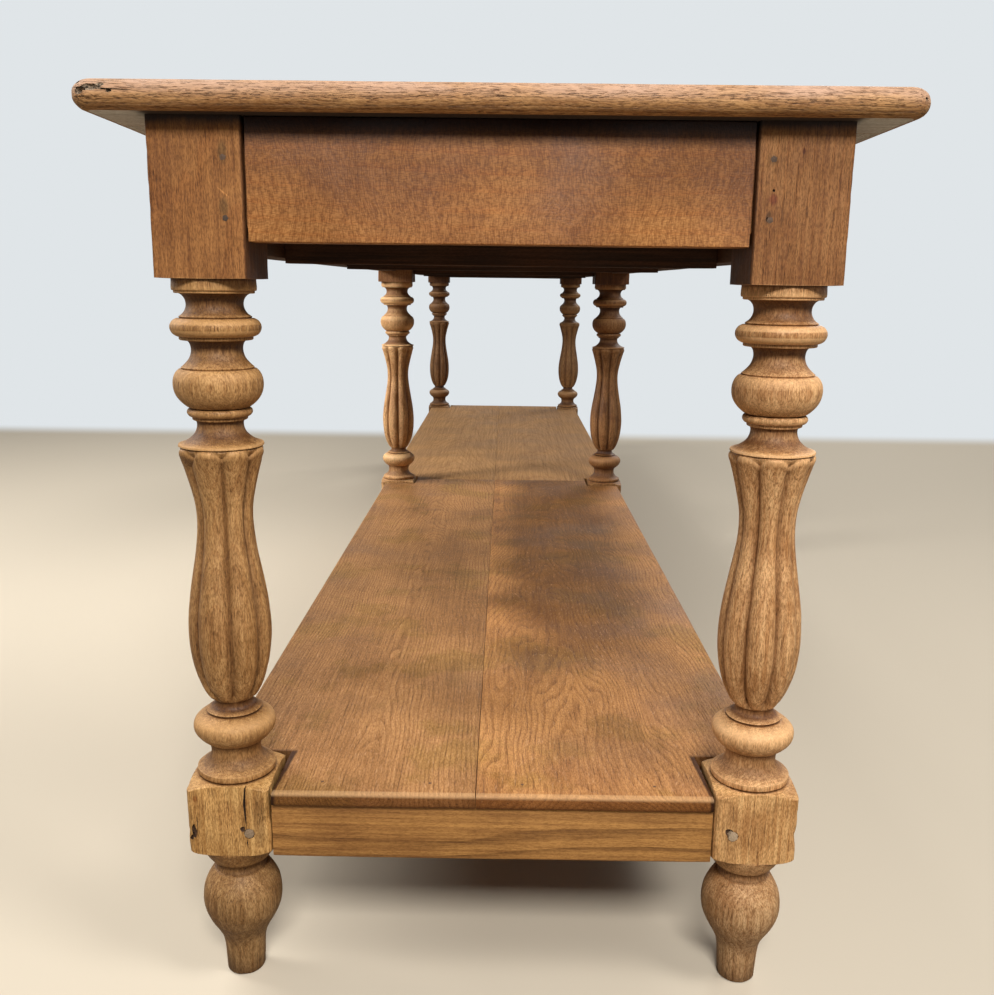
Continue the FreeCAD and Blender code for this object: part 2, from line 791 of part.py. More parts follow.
# Glue blocks in the corners between the top and the aprons

def make_glue_blocks():
    side = s.glue_block_side
    zs = (apron_top - side, apron_top)
    half = s.glue_block_length / 2
    blocks = []
    apron_x = leg_x + half_square - s.side_apron_recess - s.side_apron_thickness
    apron_y = block_end_y - s.end_apron_recess - s.end_apron_thickness
    for bay, bay_sign in BAYS.items():
        for name, sign in SIDES.items():
            quarter = (s.bay_length / 2 - s.outer_bearer_distance) / 2
            for number, y in enumerate((s.bay_length / 2 - quarter, s.bay_length / 2 + quarter)):
                blocks.append(box(f"glue_block_{bay}_{name}_{number}",
                                  (apron_x * sign, (apron_x - side) * sign),
                                  ((y - half) * bay_sign, (y + half) * bay_sign), zs))
            x = inner_x / 2 * sign
            blocks.append(box(f"glue_block_{bay}_{name}_end", (x - half, x + half),
                              (apron_y * bay_sign, (apron_y - side) * bay_sign), zs))
    keep(group("glue_block_set", blocks), "glue_blocks")


# The whole table

def main():
    blocks = leg_blocks("leg_blocks")
    blanks = {side: leg_blank(f"{side}_leg_blank", blocks, turn)
              for side, turn in FIRST_GROOVE_TURNS.items()}
    rails = make_rails()
    bearers = make_bearers()
    locks = make_locks(rails)
    make_legs(blanks, rails, locks)
    nails = make_shelf()
    nailed = {"near": "stretcher_near_end", "middle": "stretcher_middle", "far": "stretcher_far_end"}
    for row, name in nailed.items():
        rails[name].solid = cut(f"{name}_nailed", rails[name].solid, nails[row])
    finish_rails(rails, bearers, locks)
    for label in ("end_apron_pegs", "side_apron_pegs", "end_stretcher_pegs", "side_stretcher_pegs"):
        keep(group(f"{label}_set", [one.pin for one in locks if one.kind == label]), label)
    make_top()
    make_glue_blocks()
    doc.recompute()
    for thing in doc.Objects:
        if "Invalid" in thing.State or "Error" in thing.State:
            raise RuntimeError(f"{thing.Name} failed: {thing.State}")
    os.makedirs("parts", exist_ok=True)
    for piece in parts:
        shape = piece.Shape
        if shape.isNull() or not shape.isValid():
            raise RuntimeError(f"{piece.Label} has no valid shape")
        shape.exportStep(f"parts/{piece.Label}.step")
        print(f"{piece.Label}: {len(shape.Solids)} solid(s), {shape.Volume / 1e6:.4f} litres")


main()
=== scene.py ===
# %% [markdown]
# # A draper's table
# A draper measured and folded cloth on a table like this one: a long oak top, six turned legs
# whose middles are carved into reeds, and a low shelf for the bolts of cloth. This notebook
# dresses the bare wooden frame that was drawn in CAD. Each step makes one kind of piece or one
# finish, in metres, in the frame's own place.

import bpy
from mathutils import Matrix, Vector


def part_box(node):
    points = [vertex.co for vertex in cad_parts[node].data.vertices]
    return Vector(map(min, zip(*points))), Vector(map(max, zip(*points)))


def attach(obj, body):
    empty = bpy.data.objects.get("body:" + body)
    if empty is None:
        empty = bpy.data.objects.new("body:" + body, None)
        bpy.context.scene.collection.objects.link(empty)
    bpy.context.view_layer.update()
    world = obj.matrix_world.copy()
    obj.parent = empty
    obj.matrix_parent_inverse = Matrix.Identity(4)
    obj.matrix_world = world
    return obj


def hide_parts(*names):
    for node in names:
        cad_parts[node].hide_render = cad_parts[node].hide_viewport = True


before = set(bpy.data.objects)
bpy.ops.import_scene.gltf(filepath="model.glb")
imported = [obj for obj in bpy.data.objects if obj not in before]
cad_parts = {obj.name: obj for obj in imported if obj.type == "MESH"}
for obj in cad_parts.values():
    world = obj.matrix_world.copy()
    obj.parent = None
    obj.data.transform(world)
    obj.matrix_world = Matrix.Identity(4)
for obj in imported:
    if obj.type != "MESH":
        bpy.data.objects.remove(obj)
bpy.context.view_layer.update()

# %% [markdown]
# ## Units, colours and pieces
# The scene is drawn in metres, but a joiner thinks in millimetres, so MM turns one into the
# other. A colour could be typed in as the light that it sends back; the numbers of a paint chart
# are easier to judge, so a helper converts them. Every piece goes into the scene through the same
# two helpers, so that none is left without a name or a place in the frame.

# %% Tools for meshes and numbers
import math

import bmesh
import bpy
import numpy as np
from mathutils import Matrix, Vector, noise

MM = 0.001


def paint(red, green, blue):
    """A colour as a paint chart gives it, from 0 to 255, turned into the light that it sends back."""
    lit = [((c / 255 + 0.055) / 1.055) ** 2.4 if c > 10 else c / 255 / 12.92 for c in (red, green, blue)]
    return (*lit, 1.0)


def plain_object(name, mesh):
    """Puts a mesh into the scene as it is."""
    piece = bpy.data.objects.new(name, mesh)
    bpy.context.scene.collection.objects.link(piece)
    return piece


def finish_piece(piece, slot, *nodes):
    """Every piece rides on the one body and hides the CAD pieces that it stands for; slot is not used."""
    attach(piece, "root")
    if nodes:
        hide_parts(*nodes)


print("the apron's honey brown as light:", [round(c, 3) for c in paint(194, 137, 79)])

# %% [markdown]
# ## Wiring
# Materials and Geometry Nodes are both trees of nodes. They could be wired by hand in the node
# editor, but a tree in words is easier to read and to change. A few small helpers keep the
# wiring short: one adds a node and fills its inputs with numbers or with wires, and the others
# do arithmetic, fade a value in, mix colours and make noise.

# %% Wiring helpers
def add(tree, kind, inputs=None, **settings):
    """A new node; inputs go in by name or number, and may be plain values or other nodes' sockets."""
    node = tree.nodes.new(kind)
    for key, value in settings.items():
        setattr(node, key, value)
    for key, value in (inputs or {}).items():
        if isinstance(value, bpy.types.NodeSocket):
            tree.links.new(value, node.inputs[key])
        else:
            node.inputs[key].default_value = value
    return node


def calc(tree, operation, *values, clamp=False):
    """Arithmetic on single numbers."""
    node = add(tree, "ShaderNodeMath", dict(enumerate(values)), operation=operation, use_clamp=clamp)
    return node.outputs[0]


def vector(tree, operation, first, second):
    """Arithmetic on three numbers at once."""
    return add(tree, "ShaderNodeVectorMath", {0: first, 1: second}, operation=operation).outputs[0]


def ramp(tree, value, low, high, to_low=0.0, to_high=1.0):
    """Takes a value from one range to another, smoothly and no further than its ends."""
    node = add(tree, "ShaderNodeMapRange", {0: value, 1: low, 2: high, 3: to_low, 4: to_high},
               interpolation_type="SMOOTHSTEP")
    return node.outputs[0]


print("helpers that add nodes:", [helper.__name__ for helper in (add, calc, vector, ramp)])

# %% [markdown]
# The same few things come up in every finish: the place on the piece, noise that is even all
# ways or drawn out one way, and a tint laid over a part. The place could be read from a flat
# layout of each mesh, but that has to be drawn anew when a mesh changes. It is given in metres in
# the table's own frame instead, so a mark stays where it is on the real table.

# %% Helpers for colour and noise
def blend(tree, mode, amount, under, over):
    """Lays one colour over another."""
    node = add(tree, "ShaderNodeMix", {0: amount, 6: under, 7: over}, data_type="RGBA", blend_type=mode)
    return node.outputs[2]


def tinted(tree, where, colour, tint):
    """The colour times a tint, where the mask is 1; a tint of 1, 1, 1 changes nothing."""
    return blend(tree, "MULTIPLY", where, colour, (*tint, 1.0))


def object_place(tree):
    """The place on the piece, in metres."""
    return add(tree, "ShaderNodeTexCoord").outputs["Object"]


def cloudy(tree, place, scale, detail=2.0, roughness=0.5):
    """Noise that is alike all ways; scale is in cycles to the metre."""
    return add(tree, "ShaderNodeTexNoise", {"Vector": place, "Scale": scale, "Detail": detail,
                                            "Roughness": roughness})


def stretched(tree, place, cycles, detail=2.0, roughness=0.5):
    """Noise with its own number of cycles to the metre along each axis."""
    return cloudy(tree, vector(tree, "MULTIPLY", place, cycles), 1.0, detail, roughness)


def bare_material(name):
    """A new material, its tree of nodes, and the shader at the end of the tree."""
    material = bpy.data.materials.new(name)
    material.use_nodes = True
    return material, material.node_tree, material.node_tree.nodes["Principled BSDF"]


print("materials before the first finish:", len(bpy.data.materials))

# %% [markdown]
# ## Oak
# Oak is ring-porous. Each spring it lays down a band of wide pores, and a board shows these bands
# as lines along its length, or as nested arches where the saw ran across the rings. A photograph
# of oak could be wrapped round each piece, but it would show its seams on the turned legs. So the
# finish is worked out the way the tree does it: rings about a pith that lies outside the piece
# and leans a little. The surface cuts through this block of rings, so every side of a piece
# agrees with the next.

# %% Grain that runs along a piece
GRAIN_ORDER = {"X": (1, 2, 0), "Y": (0, 2, 1), "Z": (0, 1, 2)}


def grain_space(tree, along, shift):
    """Places with the grain along the third axis, moved so that no two pieces match."""
    split = add(tree, "ShaderNodeSeparateXYZ", {0: object_place(tree)})
    order = GRAIN_ORDER[along]
    turned = add(tree, "ShaderNodeCombineXYZ", {i: split.outputs[axis] for i, axis in enumerate(order)})
    return vector(tree, "ADD", turned.outputs[0], shift), split


def streaks(tree, space, across, along, detail=2.0, roughness=0.5):
    """Noise drawn out along the grain; across and along are cycles to the metre."""
    return stretched(tree, space, (across, across, along), detail, roughness)


print("the grain can run along:", ", ".join(GRAIN_ORDER))

# %% [markdown]
# Grain is never straight. Slow noise bends the whole board, quick noise makes the lines tremble,
# and on the flat-sawn shelf boards a third noise, between the two in size, swirls the arches.
# The lines could each be drawn with a wobble, but neighbours would then cross. Here the noise
# pushes the places aside before the rings are counted, so all lines bend together.

# %% Years of growth
def pushed_aside(tree, space, waves, amount):
    """Places moved by a noise's three colours, each of which swings about one half."""
    aside = vector(tree, "SUBTRACT", waves.outputs["Color"], (0.5, 0.5, 0.5))
    return vector(tree, "ADD", space, vector(tree, "MULTIPLY", aside, amount))


def spring_wood(tree, space, pith, lean, ring, band, bend, swirl):
    """1 in the open wood that each spring laid down, and 0 in the dense wood of summer."""
    bent = pushed_aside(tree, space, streaks(tree, space, 5.0, 1.1), (bend, bend * 2.4, 0.0))
    tremble = streaks(tree, space, 34.0, 9.0, detail=1.0)
    bent = pushed_aside(tree, bent, tremble, (bend * 0.10, bend * 0.26, 0.0))
    if swirl:
        medium = streaks(tree, space, 13.0, 4.5, detail=1.0)
        bent = pushed_aside(tree, bent, medium, (swirl, swirl * 1.6, 0.0))
    axes = add(tree, "ShaderNodeSeparateXYZ", {0: bent}).outputs
    u = calc(tree, "SUBTRACT", axes[0], pith[0])
    v = calc(tree, "MULTIPLY_ADD", axes[2], lean, calc(tree, "SUBTRACT", axes[1], pith[1]))
    reach = calc(tree, "SQRT", calc(tree, "ADD", calc(tree, "MULTIPLY", u, u), calc(tree, "MULTIPLY", v, v)))
    uneven = streaks(tree, bent, 30.0, 2.0, detail=1.0).outputs[0]
    years = calc(tree, "MULTIPLY_ADD", uneven, 1.6, calc(tree, "DIVIDE", reach, ring))
    season = calc(tree, "FRACT", years)
    spring = calc(tree, "SUBTRACT", 1.0, ramp(tree, season, 0.0, band))
    return calc(tree, "MULTIPLY", spring, ramp(tree, season, 0.0, 0.06))


print("a board 230 mm wide, cut through its pith, holds", round(0.230 / 0.0042), "rings of 4.2 mm")

# %% [markdown]
# On top of the rings come the long thin pores, which crowd into the spring bands, fine fibres,
# slow clouds of colour, and a dark grit that stripping and scrubbing left in the grain. The
# rings, pores and fibres also raise and lower the surface a little, so that raking light catches
# it. Two numbers stored in the mesh, hollow and worn, darken the quirks of the turning, as dirt
# and painted shade, and brighten its beads, as wear and a painted highlight. One finish for all
# the oak would be shorter, but hardly two boards of the table are alike, so each gets its own
# numbers. The first is the dark oak of the bearers.

# %% The oak finish
def oak(name, along, pale, deep, shift=(0.0, 0.0, 0.0), pith=(0.05, -0.06), lean=0.02, ring=0.0032,
        bend=0.010, ring_strength=0.5, band=0.55, pore_strength=0.6, pore_size=(900.0, 34.0),
        loose_pores=0.35, streaky=0.7, rough=(0.5, 0.7), relief=0.5, clouds=7.0, swirl=0.0, speckle=0.28,
        gloss=0.35, extra=None):
    """A bare or waxed oak surface; extra may add marks of its own to the colour and the height."""
    material, tree, shader = bare_material(name)
    space, split = grain_space(tree, along, shift)
    spring = spring_wood(tree, space, pith, lean, ring, band, bend, swirl)
    pores = ramp(tree, streaks(tree, space, *pore_size).outputs[0], 0.52, 0.68)
    pores = calc(tree, "MULTIPLY", pores, calc(tree, "MULTIPLY_ADD", spring, 1.0 - loose_pores, loose_pores))
    fibre = streaks(tree, space, 260.0, 6.0, detail=3.0, roughness=0.6).outputs[0]
    cloud = cloudy(tree, space, clouds, detail=4.0, roughness=0.6).outputs[0]
    grit = streaks(tree, space, 900.0, 230.0, roughness=0.7).outputs[0]
    spring = calc(tree, "MULTIPLY", spring, ramp(tree, cloud, 0.34, 0.60, 0.45, 1.0))

    body = calc(tree, "MULTIPLY_ADD", fibre, streaky, calc(tree, "MULTIPLY", cloud, 1.3 - streaky))
    colour = blend(tree, "MIX", ramp(tree, body, 0.42, 0.88), deep, pale)
    grime = (1 - speckle, 1 - speckle * 1.14, 1 - speckle * 1.35)
    colour = tinted(tree, ramp(tree, grit, 0.40, 0.64), colour, grime)
    dim = 1.0 - 0.42 * ring_strength
    colour = tinted(tree, spring, colour, (dim, dim * 0.93, dim * 0.86))
    dark = 1.0 - 0.65 * pore_strength
    colour = tinted(tree, pores, colour, (dark, dark * 0.9, dark * 0.8))
    height = calc(tree, "MULTIPLY", pores, -1.3 * pore_strength)
    height = calc(tree, "MULTIPLY_ADD", spring, -0.6 * ring_strength, height)
    height = calc(tree, "MULTIPLY_ADD", fibre, 0.5, height)
    if extra:
        colour, height = extra(tree, split, colour, height)

    # Dirt and painted shade: the hollow number darkens the quirks and reed grooves, for dirt and for the
    # shade that falls in them.
    hollow = add(tree, "ShaderNodeAttribute", attribute_name="hollow").outputs["Fac"]
    colour = tinted(tree, hollow, colour, (0.30, 0.22, 0.15))
    # Wear and a painted highlight: the worn number brightens the crests of the beads, for rubbing and for the
    # highlight that light leaves on them.
    worn = add(tree, "ShaderNodeAttribute", attribute_name="worn").outputs["Fac"]
    bright = [min(1.0, c * 1.18) for c in pale[:3]] + [1.0]
    colour = blend(tree, "MIX", calc(tree, "MULTIPLY", worn, 0.7), colour, bright)
    tree.links.new(colour, shader.inputs["Base Color"])
    tree.links.new(ramp(tree, cloud, 0.3, 0.7, rough[0], rough[1]), shader.inputs["Roughness"])
    shader.inputs["Specular IOR Level"].default_value = gloss
    bump = add(tree, "ShaderNodeBump", {"Strength": relief, "Distance": 0.0007, "Height": height})
    tree.links.new(bump.outputs[0], shader.inputs["Normal"])
    return material


cross_oak = oak("oak_bearers", "X", pale=paint(84, 54, 36), deep=paint(40, 26, 18), shift=(0.6, 0.4, 0.9),
                pith=(0.75, 0.60), lean=0.01, ring=0.0036, ring_strength=0.45, pore_strength=0.5,
                rough=(0.7, 0.85))
print("nodes in the bearers' finish:", len(cross_oak.node_tree.nodes))

# %% [markdown]
# ## The legs
# A leg starts as a square baulk. Where it stays square it is a block that takes the mortises; in
# between it is turned on a lathe. Boxes and turned parts could be joined with a Boolean. It is
# simpler to say that the surface is the smaller of two radii at every height and angle: the
# square's, and the turner's profile. That rule gives the rounded shoulders where the turning
# bites into the square block, without drawing them. The profile is a few short runs of heights
# and radii in millimetres, read from the foot up, and each run is a smooth curve; where two runs
# meet there is the crisp corner that the turner's skew chisel leaves.

# %% The turner's profile
TURNED_RUNS = [
    [(0, 17.4), (1.5, 18.9)],
    [(1.5, 18.9), (15, 19.6), (28, 20.3), (36, 21.3), (43, 23.2), (52, 27.6), (62, 33.2), (73, 37.7),
     (82, 39.2), (89, 39.1), (98, 37.7), (107, 34.0), (113, 30.4), (117.5, 27.4)],
    [(117.5, 27.4), (118.6, 25.2)],
    [(118.6, 25.2), (122.5, 24.0), (127, 25.2), (130, 28.2)],
    [(130, 28.2), (130.6, 30.2)],
    [(130.6, 30.2), (136, 33.9), (142, 37.2), (147, 39.6), (149, 40.4)],
    [(149, 40.4), (150, 46.0), (151.5, 51.0), (154.5, 56.0), (157.5, 60.0)],
    [(157.5, 60.0), (213.5, 60.0)],
    [(213.5, 60.0), (216.5, 55.5), (219.8, 50.0), (222.2, 43.5), (223.2, 39.0)],
    [(223.2, 39.0), (223.4, 35.6), (224.4, 35.8)],
    [(224.4, 35.8), (225.0, 37.3), (230.0, 37.5)],
    [(230.0, 37.5), (230.6, 36.4)],
    [(230.6, 36.4), (232.0, 34.0), (234.2, 30.4), (237.4, 27.0)],
    [(237.4, 27.0), (241.5, 24.7), (246, 24.0), (251, 24.5), (255.4, 26.0)],
    [(255.4, 26.0), (256.6, 28.0)],
    [(256.6, 28.0), (262, 34.2), (268, 38.3), (274, 39.4), (279.5, 37.5), (284, 32.6), (286.6, 27.9)],
    [(286.6, 27.9), (287.0, 24.6), (288.3, 25.0)],
    [(288.3, 25.0), (288.9, 26.2), (290.4, 23.6), (293.2, 19.2), (296.5, 17.9), (299.2, 18.1)],
    [(299.2, 18.1), (300.6, 20.2)],
    [(300.6, 20.2), (303, 22.9), (308, 26.1), (318, 30.8), (334, 35.5), (352, 38.1), (370, 38.9),
     (390, 37.9), (410, 35.3), (430, 31.8), (450, 28.4), (466, 26.4), (480, 25.8), (494, 26.7),
     (510, 29.9), (526, 34.0), (538, 37.5), (543.8, 39.3), (546.8, 38.9), (548.2, 37.4)],
    [(548.2, 37.4), (548.9, 36.2)],
    [(548.9, 36.2), (549.4, 38.7), (551.2, 38.3)],
    [(551.2, 38.3), (552.0, 35.6), (555.0, 29.6), (560.5, 23.6), (566, 21.2), (570.5, 21.0), (572.8, 22.0)],
    [(572.8, 22.0), (573.4, 24.6), (576.2, 24.9)],
    [(576.2, 24.9), (576.6, 27.2), (580.0, 29.4), (583.0, 28.3), (584.0, 25.6)],
    [(584.0, 25.6), (585.2, 28.4), (591.5, 35.2), (598, 38.9), (605.5, 40.2), (612, 39.4), (617, 37.0),
     (619.4, 34.6)],
    [(619.4, 34.6), (619.8, 32.0), (621.0, 32.6)],
    [(621.0, 32.6), (623.6, 29.6), (629.5, 24.8), (636.5, 22.9), (642.5, 24.0), (645.4, 26.4)],
    [(645.4, 26.4), (645.8, 32.4), (648.4, 32.7)],
    [(648.4, 32.7), (648.8, 34.6), (651, 38.0), (655, 40.1), (659, 40.0), (662.8, 37.6), (664.6, 34.6)],
    [(664.6, 34.6), (665.0, 31.6), (666.2, 32.2)],
    [(666.2, 32.2), (669.5, 28.0), (675, 25.4), (681.0, 25.8), (685.0, 28.4), (686.6, 31.0)],
    [(686.6, 31.0), (687.0, 35.2), (689.0, 35.4)],
    [(689.0, 35.4), (689.4, 36.9), (699.2, 37.0)],
    [(699.2, 37.0), (699.8, 60.0)],
    [(699.8, 60.0), (832, 60.0)],
]
BLOCK_HALF = 40.0
BLOCKS = {  # foot and head of each square block, how round its corners are, and how far chipped
    "lower": (149.0, 224.0, 6.0, 2.4), "upper": (700.0, 832.0, 2.2, 0.7),
}
print("the turner's profile has", len(TURNED_RUNS), "runs")

# %% [markdown]
# Straight lines between the marks would leave flats on the curves, and one curve through all of
# them would round off the crisp corners. So each run gets a smooth curve of its own. The finished
# profile also tells where the turning is darkened, as dirt and painted shade, and where it is
# brightened, as wear and a painted highlight: a height is hollow where the wood around it stands
# further out, and worn where it stands proud itself.

# %% Smooth curves through the marks
def smooth_run(marks, step):
    """Points about a step apart on a smooth curve through the marks."""
    marks = np.array(marks, float)
    if len(marks) == 2:
        count = max(1, int(np.ceil(np.linalg.norm(marks[1] - marks[0]) / step / 5)))
        return marks[0] + (marks[1] - marks[0]) * np.linspace(0, 1, count + 1)[:, None]
    chords = np.linalg.norm(np.diff(marks, axis=0), axis=1) ** 0.5
    knots = np.concatenate([[0], np.cumsum(chords)])
    slopes = np.gradient(marks, knots, axis=0)
    points = []
    for i in range(len(marks) - 1):
        span = knots[i + 1] - knots[i]
        count = max(1, int(np.ceil(np.linalg.norm(marks[i + 1] - marks[i]) / step)))
        t = np.linspace(0, 1, count, endpoint=False)[:, None]
        points.append(marks[i] * (1 + 2 * t) * (1 - t) ** 2 + marks[i + 1] * t * t * (3 - 2 * t)
                      + slopes[i] * span * t * (1 - t) ** 2 - slopes[i + 1] * span * t * t * (1 - t))
    return np.vstack(points + [marks[-1:]])


def leg_profile(step):
    """Heights and radii of the whole leg, and how hollow or how worn each height is."""
    runs = [smooth_run(run, step) for run in TURNED_RUNS]
    profile = np.vstack([runs[0]] + [run[1:] for run in runs[1:]])
    heights, radii = profile.T
    apart = np.abs(heights[:, None] - heights[None, :])
    capped = np.minimum(radii, BLOCK_HALF)

    def around(reach):
        weight = np.clip(1 - apart / reach, 0, 1)
        return (capped[None, :] * weight).sum(1) / weight.sum(1)

    # Dirt and painted shade: broad coves, and the narrow quirks at the profile's corners, get a hollow number
    # that darkens them.
    broad = np.clip((around(14) - capped - 0.1) / 3.4, 0, 1) * 0.95
    narrow = np.clip((around(3.2) - capped - 0.25) / 1.6, 0, 1) * 0.7
    # Wear and a painted highlight: proud beads get a worn number that brightens them.
    worn = np.clip((capped - around(14) - 0.8) / 4.5, 0, 1) * (radii < BLOCK_HALF)
    return heights, radii, np.clip(broad + narrow, 0, 1), worn


print("rings in a near leg:", len(leg_profile(1.15)[0]))

# %% [markdown]
# The mesh is a grid of rings and spokes. A lathe modifier would turn the round parts, but the
# square blocks would then be separate pieces; one grid lets the square and the round melt into
# each other. The spokes crowd together at the corners of the square, so that the arrises stay
# crisp.

# %% Spokes round a leg
def spoke_angles(count):
    """Even spokes, with extra ones close to each corner of the square."""
    even = np.arange(count) * 2 * math.pi / count
    corner = math.pi / 4 + np.arange(4) * math.pi / 2
    crowd = np.radians([-5.2, -3.6, -2.2, -1.1, 1.1, 2.2, 3.6, 5.2])
    return np.unique(np.round(np.concatenate([even, (corner[:, None] + crowd[None, :]).ravel()]), 5))


def square_radius(angles, arris):
    """Distance from the axis to a square with rounded corners."""
    turn = np.abs((angles + math.pi / 4) % (math.pi / 2) - math.pi / 4)
    flat = BLOCK_HALF / np.cos(turn)
    centre = BLOCK_HALF - arris
    along = centre * (np.cos(turn) + np.sin(turn))
    across = centre * (np.cos(turn) - np.sin(turn))
    corner = along + np.sqrt(np.maximum(arris ** 2 - across ** 2, 0))
    on_corner = np.tan(turn) * BLOCK_HALF > centre
    return np.where(on_corner, corner, flat)


print("spokes round a near leg:", len(spoke_angles(152)))

# %% [markdown]
# Now rings and spokes become a mesh. A perfect surface could be roughened afterwards by a
# modifier, but that would eat into the reeds as well. So each point is moved a little as it is
# made: slow noise for the turner's hand, and chips where an arris of a square block was knocked.

# %% A leg's mesh
def leg_mesh(name, centre, spokes, step, seed):
    """Rings from the foot up, each no wider than the square where the leg stays square."""
    heights, radii, hollow, worn = leg_profile(step)
    angles = spoke_angles(spokes)
    squares = {part: square_radius(angles, arris) for part, (_, _, arris, _) in BLOCKS.items()}
    points = []
    for height, radius in zip(heights, radii):
        part = "lower" if height < 400 else "upper"
        low, high, _, loss = BLOCKS[part]
        in_block = low - 0.1 <= height <= high + 0.1
        for angle, limit in zip(angles, squares[part]):
            reach = min(radius, limit)
            x, y = math.cos(angle), math.sin(angle)
            where = Vector((x * reach * 0.03, y * reach * 0.03, height * 0.012 + seed))
            uneven = noise.noise(where * 3.1) * 0.35
            if in_block and limit > BLOCK_HALF * 1.22:
                chips = noise.noise(Vector((x * 2, y * 2, height * 0.09 + seed * 3)))
                uneven -= max(0.0, chips - 0.1) * loss * 1.4
            reach += uneven
            points.append((centre[0] + x * reach * MM, centre[1] + y * reach * MM, height * MM))
    count = len(angles)
    faces = []
    for ring in range(len(heights) - 1):
        low, high = ring * count, (ring + 1) * count
        faces += [(low + i, low + (i + 1) % count, high + (i + 1) % count, high + i) for i in range(count)]
    faces.append(tuple(reversed(range(count))))
    faces.append(tuple(range(len(points) - count, len(points))))
    mesh = bpy.data.meshes.new(name)
    mesh.from_pydata(points, [], faces)
    for key, values in (("hollow", hollow), ("worn", worn)):
        layer = mesh.attributes.new(key, "FLOAT", "POINT")
        layer.data.foreach_set("value", np.repeat(values, count).astype(np.float32))
    return mesh


print("points of a near leg:", len(leg_profile(1.15)[0]) * len(spoke_angles(152)))

# %% [markdown]
# The reeds are the finest work on the table: the middle of each turned leg is carved into eight
# ribs with V-shaped grooves between them. Eight cutters could be taken away from each leg, but
# every groove follows the swelling of the vase. All are alike, so they are a job for Geometry
# Nodes. The tree finds each point's angle about the leg, folds it into one reed, and pushes the
# surface in towards the two grooves beside the reed. Near the ends it also slides the points
# along the leg, which rounds each reed's tip. The carver worked by eye: two inputs crowd the
# reeds on one side, as on the real legs.

# %% The reed carving tree
REEDS = 8
VASE = (300.6 * MM, 548.4 * MM)


